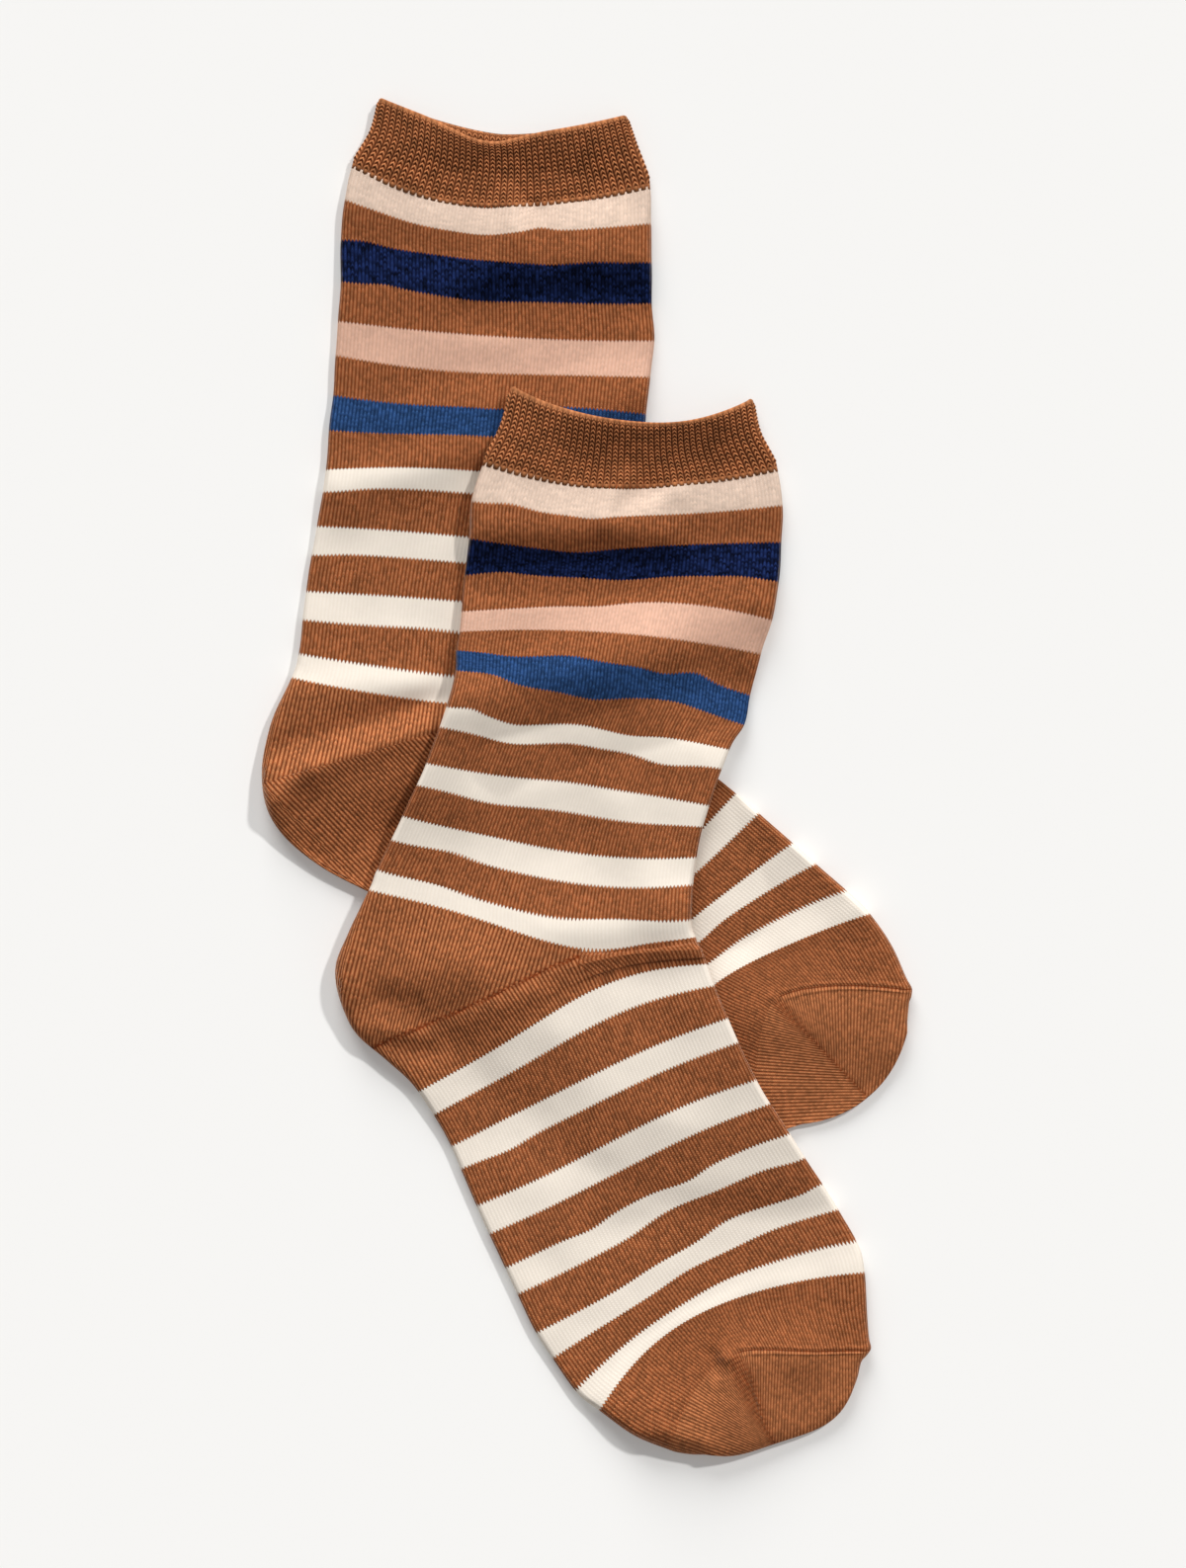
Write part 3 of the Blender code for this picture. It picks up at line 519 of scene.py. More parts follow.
def knit_coordinates(sock, t, way, points):
    """For each region: U and V on one side of its gore, U and V on the other side, and the
    distance from the gore (over 0 on the other side).  The points are the unrolled ones, so
    that the courses run on evenly round a fold.

    Heel and toe: V = V of the pocket's edge plus the distance from it over the height of a
    course, and U = U at the nearest place of that edge.  A pocket has two such edges."""
    face = np.where(way <= 0.5, way, 1 - way)
    plain_u = WALES * face
    plain_v = course_of_row(sock, t)[:, None] - stray(sock, points[..., 0], points[..., 1])
    region = np.full(way.shape, PLAIN)
    maps = [(plain_u, plain_v, plain_u, plain_v, np.full(way.shape, FAR))]
    pocket = POCKET[sock.name]

    start, end = PLACES.index("heel start"), PLACES.index("foot band 1")
    rows = (t > start - SAME) & (t < end + SAME)
    down, down_u = nearest_on_row(sock, start, points[rows])
    up, up_u = nearest_on_row(sock, end, points[rows])
    gore = (down - pocket["below"]) - pocket["pull"] * (up - pocket["above"])
    gore = gore / (1 + pocket["pull"])
    heel = (down_u, HEEL_COURSES + ROW_COURSES["heel start"] + down / COURSE,
            up_u, HEEL_FOOT_COURSES + ROW_COURSES["foot band 1"] - up / COURSE, gore)
    maps.append(fill_rows(rows, heel, maps[PLAIN]))
    region[(t > start - SAME) & (t < end - SAME)] = HEEL
    region[(region == HEEL) & (face * 2 >= pocket["star"])] = PLAIN

    seam = PLACES.index("seam")
    rows = t > seam - SAME
    corner = pocket["corner"] / 2
    left, left_u = nearest_on_row(sock, seam, points[rows], 0.0, corner)
    right, right_u = nearest_on_row(sock, seam, points[rows], corner, 0.5)
    gore = (left - right) / TOE_SPREAD
    toe = (left_u, HEEL_COURSES + ROW_COURSES["seam"] + left / COURSE,
           right_u, TOE_COURSES + ROW_COURSES["seam"] + right / COURSE, gore)
    maps.append(fill_rows(rows, toe, maps[PLAIN]))
    region[rows] = TOE
    return maps, region


def fill_rows(rows, values, others):
    """Whole grids that hold the values in the given rows and the others elsewhere."""
    grids = [np.array(other, float) for other in others]
    for grid, value in zip(grids, values):
        grid[rows] = value
    return grids


for sock in (under, over):
    t = np.array([PLACES.index("heel start"), PLACES.index("seam")], float)
    print(sock.name, "courses at the heel's start and at the seam:", course_of_row(sock, t))

# %% [markdown]
# ## Pieces from grids
# A piece is a grid of points: rings along the sock and columns round it.  The outer wall
# and the inner wall are two such grids, joined at the edge of the piece, so that every
# piece is a closed shell.

# %% Rings, columns and closed shells
PATH_SAMPLES = 3000          # points on each of the lines down the sock
PATH_WAYS = (0.02, 0.25, 0.48)   # along which rings are spaced


def even_rows(sock, first, last, step):
    """Rows t from first to last, no two rings further apart than the step in mm."""
    t = np.linspace(first, last, PATH_SAMPLES)
    path = sock.surface(t, np.tile(PATH_WAYS, (len(t), 1)))
    length = np.concatenate(([0], np.cumsum(
        np.linalg.norm(np.diff(path, axis=0), axis=2).max(axis=1))))
    return np.interp(np.linspace(0, length[-1], int(length[-1] / step) + 2), length, t)


def columns(sock, t, edge, across):
    """Ways round a ring, the same on both faces: close in the folds, even between them."""
    now = sock.section(t)
    rounds = now["arc"] / now["face"] / 2
    places = []
    for start in (0.0, 0.5):
        places.append(start + rounds * np.arange(edge) / edge)
        places.append(start + rounds + (0.5 - 2 * rounds) * np.arange(across) / across)
        places.append(start + 0.5 - rounds * (1 - np.arange(edge) / edge))
    return np.concatenate(places, axis=1)


def grid_quads(rings, count, first=0, outward=True):
    """Quads of a grid that closes round each ring, as point numbers."""
    ring, column = np.meshgrid(np.arange(rings - 1), np.arange(count), indexing="ij")
    beside = (column + 1) % count
    quads = np.stack((ring * count + column, (ring + 1) * count + column,
                      (ring + 1) * count + beside, ring * count + beside), axis=-1)
    quads = quads.reshape(-1, 4) + first
    return quads if outward else quads[:, ::-1]


def close_end(quads, count, ring_start):
    """Lets the under half of a ring use the points of its upper half, which closes it."""
    column = quads - ring_start
    mirrored = ring_start + (count - column) % count
    fold = (column > count // 2) & (column < count)
    return np.where(fold, mirrored, quads)


def unwrapped(u, period):
    """Corner values of U with the last column's faces brought past the period."""
    wide = u.max(axis=1, keepdims=True) - u.min(axis=1, keepdims=True) > period / 2
    return np.where(wide & (u < period / 2), u + period, u)


def add_piece(name, points, quads, end_faces=0, **maps):
    """Makes a mesh piece from its points and quads, with its coordinate maps.  The last
    quads may be end faces, which stay flat so that the edge beside them is crisp."""
    mesh = bpy.data.meshes.new(name)
    mesh.vertices.add(len(points))
    mesh.vertices.foreach_set("co", ((points + LAY) * MM).astype(np.float32).ravel())
    doubled = [quads[:, k] == quads[:, (k + 1) % 4] for k in range(4)]
    sides = np.where(np.any(doubled, axis=0), 3, 4)
    keep = ~np.stack(doubled, axis=1)
    mesh.loops.add(int(sides.sum()))
    mesh.loops.foreach_set("vertex_index", quads[keep].astype(np.int32))
    mesh.polygons.add(len(quads))
    mesh.polygons.foreach_set("loop_start", np.concatenate(
        ([0], np.cumsum(sides)[:-1])).astype(np.int32))
    mesh.polygons.foreach_set("use_smooth", np.arange(len(quads)) < len(quads) - end_faces)
    for layer, corners in maps.items():
        uv = mesh.uv_layers.new(name=layer)
        uv.data.foreach_set("uv", corners[keep].astype(np.float32).ravel())
    mesh.update(calc_edges=True)
    mesh.validate()
    piece = bpy.data.objects.new(name, mesh)
    bpy.context.scene.collection.objects.link(piece)
    return piece


# %% [markdown]
# ## Leg, heel, foot and toe
# The body of a sock is one shell from the cuff to the toe.  Its relief is low: the ridge
# of the linking seam with an ear at its end, and the slight unevenness of cloth that has
# been worn and washed.

# %% The body of each sock
SEAM_RISE = 0.35             # height of the lips of the linking seam, in mm
SEAM_WIDTH = 0.055           # half width of a lip, as a share of a row
SEAM_LIPS = (-0.07, 0.16)    # rows by which the lips lie from the seam
LIP_FADE = 0.08              # share of the face over which they set in at the toe's corner
EAR_RISE = 0.7               # height of the ear at the seam's end,
EAR_WIDTH = 0.22             # its half width, as a share of a row,
EAR_START = 0.93             # the share of the face at which it starts
EAR_FADE = 0.06              # and that over which it rises
WAVE_RISE = 0.05             # height of each of the slow waves in worn cloth
WAVES = ((0.31, 0.12, 0.0), (-0.23, 0.17, 1.0), (0.09, 0.41, 2.0))   # turns by x, y, start
RING_STEP = 1.2              # mm from ring to ring on the outer wall,
INNER_STEP = 7.0             # and on the inner wall
EDGE_COLUMNS = 6             # columns round each fold
FACE_COLUMNS = 88            # and on the flat of each face
SEAM_ROWS = (-0.2, 0.3)      # rows about the seam that have closer rings,
SEAM_INSET = 0.01            # how far inside those rows they start,
SEAM_RINGS = 17              # and how many they are
END_ROWS = np.array((0.02, 0.05, 0.1, 0.15))   # rows before the toe's end with rings
INNER_END = 0.22             # rows before it at which the inner wall closes
OUTER_STRIP = (0.005, 0.89)  # start and height of the strips that the outer wall
INNER_STRIP = (0.905, 0.09)  # and the inner wall take in the baked picture


def seam_relief(sock, t, way):
    """The linking seam: two lips along a groove from the toe's corner to the round ear."""
    away = (t - PLACES.index("seam"))[:, None]
    share = np.where(way <= 0.5, 2 * way, 2 - 2 * way)
    ear = smooth((share - EAR_START) / EAR_FADE)
    lips = sum(np.exp(-((away - lip) / SEAM_WIDTH) ** 2) for lip in SEAM_LIPS)
    corner = POCKET[sock.name]["corner"]
    return (SEAM_RISE * lips * smooth((share - corner) / LIP_FADE) * (1 - ear)
            + EAR_RISE * ear * np.exp(-(away / EAR_WIDTH) ** 2))


def unevenness(points):
    """Slow waves in three directions, not much over a tenth of a millimetre high."""
    x, y = points[..., 0], points[..., 1]
    return WAVE_RISE * sum(np.sin(by_x * x + by_y * y + start) for by_x, by_y, start in WAVES)


def body_rows(sock, leg):
    """Rows of the outer wall's rings: even ones, closer ones at the linking seam, one at
    each edge of the heel and a few at the toe's end."""
    seam = PLACES.index("seam")
    before, after = SEAM_ROWS
    even = even_rows(sock, leg, sock.last, RING_STEP)
    even = even[(even < seam + before) | (even > seam + after)]
    close = seam + np.linspace(before + SEAM_INSET, after - SEAM_INSET, SEAM_RINGS)
    heel = [PLACES.index("heel start"), PLACES.index("foot band 1")]
    t = np.sort(np.concatenate((even, close, heel, sock.last - END_ROWS)))
    return t[np.concatenate(([True], np.diff(t) > 0.1 * SAME))]


def body_shell(sock):
    """Points, quads and maps of the body."""
    leg = PLACES.index("cuff end")
    t = body_rows(sock, leg)
    way = columns(sock, t, EDGE_COLUMNS, FACE_COLUMNS)
    relief = seam_relief(sock, t, way) + unevenness(sock.surface(t, way))
    outer = sock.surface(t, way, relief)
    maps, region = knit_coordinates(sock, t, way, sock.surface(t, way, unrolled=True))
    inner_t = even_rows(sock, leg, sock.last - INNER_END, INNER_STEP)
    inner_way = columns(sock, inner_t, EDGE_COLUMNS, FACE_COLUMNS)
    inner = sock.surface(inner_t, inner_way, np.full(inner_way.shape, -WALL))

    count = way.shape[1]
    first = len(t) * count
    outside = grid_quads(len(t), count)
    inside = grid_quads(len(inner_t), count, first, outward=False)
    here = np.arange(count)
    beside = (here + 1) % count
    rim = np.stack((here, beside, first + beside, first + here), axis=1)

    choice = region.ravel()[outside[:, 0]][:, None]
    side_u, side_v, other_u, other_v, gore = (
        np.select([choice == k for k in (PLAIN, HEEL, TOE)], [m[c].ravel()[outside] for m in maps])
        for c in range(5))
    ways = np.concatenate((way.ravel(), inner_way.ravel()))
    rows = np.concatenate((np.repeat(t, count), np.repeat(inner_t, count)))
    corners = np.concatenate((outside, rim, inside))
    corner_way = unwrapped(ways[corners], 1.0)
    below = corner_way[:len(outside)] > 0.5
    side_u, other_u = (np.where(below, WALES - u, u) for u in (side_u, other_u))
    plain = np.stack((WALES * corner_way, course_of_row(sock, rows)[corners]), axis=-1)
    plain = plain[len(outside):]
    length = (rows[corners] - leg) / (sock.last - leg)
    inner_part = (np.arange(len(corners)) >= len(outside))[:, None]
    strip = np.where(inner_part, INNER_STRIP[0] + INNER_STRIP[1] * length,
                     OUTER_STRIP[0] + OUTER_STRIP[1] * length)
    return dict(
        points=np.concatenate((outer.reshape(-1, 3), inner.reshape(-1, 3))),
        quads=np.concatenate((close_end(outside, count, first - count), rim,
                              close_end(inside, count, first + (len(inner_t) - 1) * count))),
        knit=np.concatenate((np.stack((side_u, side_v), axis=-1), plain)),
        pocket=np.concatenate((np.stack((other_u, other_v), axis=-1), plain)),
        gore=np.concatenate((np.stack((gore, gore), axis=-1), np.full(plain.shape, FAR))),
        OFBake=np.stack((corner_way, strip), axis=-1))


bodies = {}
for sock in (under, over):
    bodies[sock.name] = add_piece(sock.name + "_body", **body_shell(sock))
    mesh = bodies[sock.name].data
    print(bodies[sock.name].name, "faces", len(mesh.polygons),
          "triangles", sum(len(p.vertices) - 2 for p in mesh.polygons))

# %% [markdown]
# ## The ribbed cuff
# Here the stitches are large enough to be real relief.  Each rib is a column of stitches,
# and each stitch is a yarn that runs up one side, turns over and runs down the other, so
# that its legs make a steep peak with a small hole below it.  The height of the rib and
# the height of the yarn are added, and both fade into the smooth welt at the rim.

# %% The cuff of each sock
RIBS = 88                    # ribs all round
RIB_DEPTH = 0.35             # height of a rib's ground, in mm,
YARN_DEPTH = 0.50            # and of the yarn on it
RIB_COURSES = 16.0           # courses of stitches between the rim and the leg
RIB_TOP = 0.28               # half width of a rib's flat top, as a share of a rib,
RIB_FLANK = 0.20             # and the width of each flank
LEG_SLANT = 1.7              # courses that a stitch's leg runs down over the rib's width
HOLE_TOP = 0.12              # half width of the deepest part of the gap between two yarns,
HOLE_FLANK = 0.28            # and the width over which it gets shallower, both in ribs
GAP_DEPTH = (0.45, 0.55)     # depth of the gap all over, and what the middle adds to it
LAST_LOSS = 0.6              # share of its height that the last course loses,
LAST_START = 1.6             # courses before the leg at which the loss starts
LAST_FADE = 1.4              # and courses over which it grows
WELT = 0.3                   # smooth courses of the welt
WELT_FADE = 0.6              # and courses over which the ribs rise from it
WELT_INSIDE = 0.7            # courses by which the ribs start higher on the inside
TEETH = 0.12                 # rows by which the last stitches of the ribs reach over the leg
TIP = 0.5                    # height of their tips, as a share of their height
LIP_REACH = 0.6 / 9.0        # rows by which the rim is rounded: 0.6 mm, of 9 mm a row
LIP_RINGS = 5                # rings round the rim
INNER_RINGS = 9              # and on the inner wall
UPPER_SAMPLES = 10           # columns to a rib on the upper face,
UNDER_SAMPLES = 4            # and on the under face
COURSE_SAMPLES = 8           # rings to a course
SINK_REACH = 0.03            # share of the way round over which the ribs sink in below
CUFF_STRIP = (0.005, 0.99)   # start and height of the cuff's strip in the baked picture


def rib_stitches(u, v):
    """Height of the ribbing at u ribs and v courses: the rib is a flat-topped wave in u,
    and the yarn is a wave in v that starts later the further it is from the rib's middle.
    The gap between two yarns is deepest in the middle of the rib.  The last course is low."""
    low = 1 - LAST_LOSS * smooth((v - RIB_COURSES + LAST_START) / LAST_FADE)
    beside = np.abs(u - np.floor(u) - 0.5)
    rib = 1 - smooth((beside - RIB_TOP) / RIB_FLANK)
    gap = 0.5 - 0.5 * np.cos(2 * np.pi * (v - LEG_SLANT * beside))
    middle = 1 - smooth((beside - HOLE_TOP) / HOLE_FLANK)
    yarn = 1 - gap * (GAP_DEPTH[0] + GAP_DEPTH[1] * middle)
    ribbed = smooth((v - WELT) / WELT_FADE)
    return ribbed * low * rib * (RIB_DEPTH + YARN_DEPTH * yarn) + (1 - ribbed) * RIB_DEPTH


def cuff_shell(sock):
    """Points, quads and maps of the cuff: outer wall, welt and inner wall in one loop."""
    leg = PLACES.index("cuff end")
    way = np.concatenate([start + np.arange(RIBS // 2 * samples) / (RIBS * samples)
                          for start, samples in ((0.0, UPPER_SAMPLES), (0.5, UNDER_SAMPLES))])
    v = np.arange(RIB_COURSES, 0, -1 / COURSE_SAMPLES)
    turn = np.linspace(0, np.pi, LIP_RINGS + 2)[1:-1]
    t = np.concatenate((v / RIB_COURSES * leg, [0.0], -LIP_REACH * np.sin(turn),
                        np.linspace(0, leg, INNER_RINGS)))
    ways = np.tile(way, (len(t), 1))
    rim = len(v)
    inner = rim + 1 + LIP_RINGS
    relief = np.full(ways.shape, -WALL)
    relief[:rim + 1] = rib_stitches(RIBS * ways[:rim + 1], t[:rim + 1, None] / leg * RIB_COURSES)
    middle = (relief[rim] - WALL) / 2
    relief[rim + 1:inner] = middle + (relief[rim] + WALL) / 2 * np.cos(turn)[:, None]
    sunk = smooth(np.minimum(np.abs(ways - 0.5), 1 - ways) / SINK_REACH)
    relief = np.where((ways > 0.5) & (relief > 0), relief - (RIB_DEPTH + YARN_DEPTH) * sunk, relief)
    points = sock.surface(t, ways, relief)
    beyond = sock.surface(t[:1] + TEETH, ways[:1], TIP * relief[:1])[0]
    points[0] += (beyond - points[0]) * smooth(2 * relief[0] / RIB_DEPTH)[:, None]
    rings, count = ways.shape
    loop = np.arange(rings)
    quads = grid_quads(rings + 1, count, outward=False) % (rings * count)
    corner_way = unwrapped(ways.ravel()[quads], 1.0)
    ring_v = t / leg * RIB_COURSES + WELT_INSIDE * (loop >= inner)
    corner_turn = unwrapped(np.repeat(loop, count)[quads], rings)
    strip = CUFF_STRIP[0] + CUFF_STRIP[1] * corner_turn / rings
    return dict(points=points.reshape(-1, 3), quads=quads, end_faces=count,
                knit=np.stack((RIBS * corner_way, np.repeat(ring_v, count)[quads]), axis=-1),
                OFBake=np.stack((corner_way, strip), axis=-1))


cuffs = {}
for sock in (under, over):
    cuffs[sock.name] = add_piece(sock.name + "_cuff", **cuff_shell(sock))
    mesh = cuffs[sock.name].data
    print(cuffs[sock.name].name, "triangles", 2 * len(mesh.polygons))

# %% [markdown]
# ## Yarn
# One way of colouring serves every yarn.  A crest of the knit has the yarn's own colour.
# Down between the yarns light bounces from fibre to fibre, and each bounce takes the
# yarn's colour once more, so shade is painted into the hollows: there the colour is
# multiplied by itself.  Pale yarns let light through and keep most of theirs.  The oatmeal
# is a heather, with streaks along its courses, and the navy has paler fibres in it.

# %% Materials
# A yarn's colour on a crest, what is left of it in the painted shade of a hollow, how much
# one stitch differs from the next, and how much the yarn differs along a course.
YARNS = {"brown": ((0.54, 0.214, 0.087), 0.42, 0.24, 0.06),
         "cream": ((0.82, 0.745, 0.655), 0.90, 0.012, 0.02),
         "oatmeal": ((0.69, 0.540, 0.440), 0.85, 0.08, 0.20),
         "rose": ((0.73, 0.468, 0.352), 0.80, 0.07, 0.04),
         "navy": ((0.011, 0.024, 0.095), 0.50, 0.80, 0.50),
         "blue": ((0.040, 0.108, 0.272), 0.50, 0.35, 0.12)}
FLAT_HOLLOW = 1.1            # a yarn that keeps this much of its colour in the painted shade of its hollows shows no stitches at all
# The crest of the plain knit sets both its bump and the painted shade between its stitches:
POCKET_CREST = 0.08          # least height of the knit between two wales in the heel,
TOE_CREST = 0.20             # in the toe, where it is stretched the least,
LEG_CREST = 0.16             # and on the leg and the foot
POCKET_LOOP = 0.30           # how far it sinks between two courses in heel and toe,
LEG_LOOP = 0.60              # and on the leg and the foot
HEEL_CREAM = 3               # courses by which the last cream band of the leg joins the heel
HAIR = 1e-6                  # keeps the first course after a band out of it
TOOTH = 2.2                  # courses that a stitch's leg runs down over a wale's width
GORE_WIDTH = 1.1             # mm either side of a gore at which its ladder of holes starts, and within which its painted shade is darkest
GORE_CORE = 0.2 * GORE_WIDTH   # and within which it is darkest
TOE_LADDER = 0.60            # how deep the holes along the toe's gore are, and how dark their painted shade
LADDER_HOLE = (0.65, 0.35)   # what a hole adds to the painted shade, and the shade between two holes
HOLE_COURSES = 2             # courses from hole to hole
SEAM_SHADE = (-0.5, 0.7)     # courses about the linking seam that lie in its groove
SEAM_WALES = (0.3, 3.0)      # wales from the toe's corner over which the groove sets in
SEAM_DARK = 0.8              # how dark the painted shade in the groove is
# The crest of the ribs sets both their bump and their painted shade:
RIB_CREST = (0.50, 0.33)     # from the gap between ribs to their top, in ribs from the middle
HOLE_EDGE = (0.40, 0.12)     # from the edge of the hole in a stitch to its middle
YARN_POWER = 1.3             # over 1, a yarn of the ribs is narrower and its hollow wider
WELT_CREST = (0.35, 0.5)     # in the welt, what a rib adds to the crest, and the least crest
RIBBED_START = (0.5 * WELT, WELT + 0.5)   # courses over which the ribs' painted shade sets in, and, from the leg up, at the teeth
RIBBED_END = (RIB_COURSES - 0.05, RIB_COURSES - 0.3)   # and, from the leg up, at the teeth
PLAIN_DEPTH = 0.20           # relief of the plain knit, in mm,
RIB_YARN_DEPTH = 0.12        # and of the yarn in the ribs
RIB_HOLLOW_SHADE = 0.25            # the ribs' hollows are deeper, and their painted shade keeps less of the colour
PLAIN_SHEEN = 0.50           # light that the loose fibres catch,
RIB_SHEEN = 0.12             # and less of it down among the ribs
STREAK_WALES = 0.22          # how fast streaks change by wale, as a share of by course,
PATCH_SCALE = 0.07           # and how fast the wider patches change
PATCH_SHADE = (0.16, 0.92)   # what the palest patch adds to the darkest one's shade
SIZE_SAMPLES = (500, 240)    # rings and columns over which a sock is measured


def band(yarn, start, end):
    """A single band, from one row of the table to another."""
    courses = ROW_COURSES[end] - ROW_COURSES[start]
    return yarn, ROW_COURSES[start], courses, courses, 1


# The bands on the brown: yarn, first course, courses, courses to the next one, how many.
BANDS = (band("oatmeal", "cuff end", "oat end"), band("navy", "navy start", "navy end"),
         band("rose", "rose start", "rose end"), band("blue", "blue start", "blue end"),
         ("cream", ROW_COURSES["leg band 1"], CREAM_COURSES, CREAM_REPEAT,
          len(LEG_BANDS) + len(FOOT_BANDS)),
         ("cream", HEEL_COURSES + ROW_COURSES["heel start"] - HEEL_CREAM,
          HEEL_CREAM, HEEL_CREAM, 1))


class Wires:
    """Writes shader nodes as formulas."""

    def __init__(self, name):
        self.material = bpy.data.materials.new(name)
        self.material.use_nodes = True
        self.nodes = self.material.node_tree.nodes
        self.links = self.material.node_tree.links
        self.shader = self.nodes["Principled BSDF"]

    def feed(self, socket, value):
        """Links a socket to another, or sets its value."""
        if isinstance(value, bpy.types.NodeSocket):
            self.links.new(value, socket)
        else:
            socket.default_value = value

    def math(self, operation, *values, clamp=False):
        """One math node."""
        node = self.nodes.new("ShaderNodeMath")
        node.operation = operation
        node.use_clamp = clamp
        for socket, value in zip(node.inputs, values):
            self.feed(socket, value)
        return node.outputs[0]

    def times(self, first, second):
        """The product of two numbers."""
        return self.math("MULTIPLY", first, second)

    def rest(self, value):
        """One minus the number."""
        return self.math("SUBTRACT", 1.0, value)

    def mix(self, factor, first, second, blend="MIX"):
        """A mix of two colours, through the node's sockets for colours."""
        node = self.nodes.new("ShaderNodeMix")
        node.data_type = "RGBA"
        node.blend_type = blend
        for place, value in ((0, factor), (6, first), (7, second)):
            self.feed(node.inputs[place], value)
        return node.outputs[2]

    def vector(self, x, y, z=0.0):
        """A vector from three numbers."""
        node = self.nodes.new("ShaderNodeCombineXYZ")
        for socket, value in zip(node.inputs, (x, y, z)):
            self.feed(socket, value)
        return node.outputs[0]

    def random(self, vector):
        """An even random number from 0 to 1 for each whole-number vector."""
        node = self.nodes.new("ShaderNodeTexWhiteNoise")
        node.noise_dimensions = "3D"
        self.feed(node.inputs["Vector"], vector)
        return node.outputs["Value"]

    def noise(self, vector, scale):
        """Smooth noise about 0.5."""
        node = self.nodes.new("ShaderNodeTexNoise")
        self.feed(node.inputs["Vector"], vector)
        node.inputs["Scale"].default_value = scale
        return node.outputs["Fac"]

    def map(self, name):
        """The two numbers of one of the piece's own coordinate maps."""
        node = self.nodes.new("ShaderNodeUVMap")
        node.uv_map = name
        return self.split(node.outputs[0])[:2]

    def split(self, vector):
        """The three numbers of a vector."""
        node = self.nodes.new("ShaderNodeSeparateXYZ")
        self.feed(node.inputs[0], vector)
        return node.outputs[:]

    def wave(self, value):
        """Half plus half the cosine: 1 at every whole number, 0 halfway."""
        turn = self.times(value, 2 * np.pi)
        return self.math("MULTIPLY_ADD", self.math("COSINE", turn), 0.5, 0.5)

    def ramp(self, value, zero, one):
        """A straight ramp, 0 where the value is zero's and 1 where it is one's."""
        slope = 1 / (one - zero)
        return self.math("MULTIPLY_ADD", value, slope, -zero * slope, clamp=True)

    def choose(self, factor, first, second):
        """The first number where the factor is 0 and the second where it is 1."""
        change = self.math("SUBTRACT", second, first)
        return self.math("MULTIPLY_ADD", change, factor, first)

    def stitches(self, u, v, slant):
        """Distance from a wale's middle line (0 to 0.5), in wales, and the course of a
        stitch: V minus the slant times that distance."""
        beside = self.math("ABSOLUTE", self.math("SUBTRACT", self.math("FRACT", u), 0.5))
        return beside, self.math("MULTIPLY_ADD", beside, -slant, v)

    def set_shader(self, **inputs):
        """Sets inputs of the shader; an underscore in a name stands for a space."""
        for name, value in inputs.items():
            self.shader.inputs[name.replace("_", " ")].default_value = value

    def finish(self, yarn, traits, wale, course, crest, depth, sheen):
        """Colour and relief.  The crest goes from 0 in a hollow to 1 on the yarn's top, and sets
        both the bump and the painted shade in the hollows; the colour differs from stitch to
        stitch, along a course and over wider patches.  A yarn that keeps its colour in the
        hollows is a full one, and its hollows are shallow."""
        hollow, speckle, streak = self.split(traits)
        fullness = self.ramp(hollow, FLAT_HOLLOW, YARNS["brown"][1])
        crest = self.rest(self.times(self.rest(crest), fullness))
        cell = self.vector(self.math("FLOOR", wale), self.math("FLOOR", course))
        along = self.noise(self.vector(self.times(wale, STREAK_WALES), course), 1.0)
        patch = self.noise(self.vector(wale, course), PATCH_SCALE)
        shade = self.math("MULTIPLY_ADD", patch, *PATCH_SHADE)
        for value, strength in ((self.random(cell), speckle), (along, streak)):
            spread_out = self.math("MULTIPLY_ADD", value, 2.0, -1.0)
            shade = self.math("MULTIPLY_ADD", spread_out, strength, shade)
        yarn = self.mix(1.0, yarn, self.vector(shade, shade, shade), "MULTIPLY")
        # painted shade in the hollows: the yarn's colour multiplied by itself and by what it keeps
        # there
        hollow_shade = self.mix(1.0, yarn, yarn, "MULTIPLY")
        hollow_shade = self.mix(1.0, hollow_shade, self.vector(hollow, hollow, hollow), "MULTIPLY")
        self.feed(self.shader.inputs["Base Color"], self.mix(crest, hollow_shade, yarn))
        bump = self.nodes.new("ShaderNodeBump")
        bump.inputs["Strength"].default_value = 1.0
        bump.inputs["Distance"].default_value = depth * MM
        self.feed(bump.inputs["Height"], crest)
        self.feed(self.shader.inputs["Normal"], bump.outputs["Normal"])
        self.set_shader(Roughness=0.9, Specular_IOR_Level=0.04, Sheen_Weight=sheen,
                        Sheen_Roughness=0.25, Sheen_Tint=(1.0, 0.82, 0.66, 1.0))
        return self.material


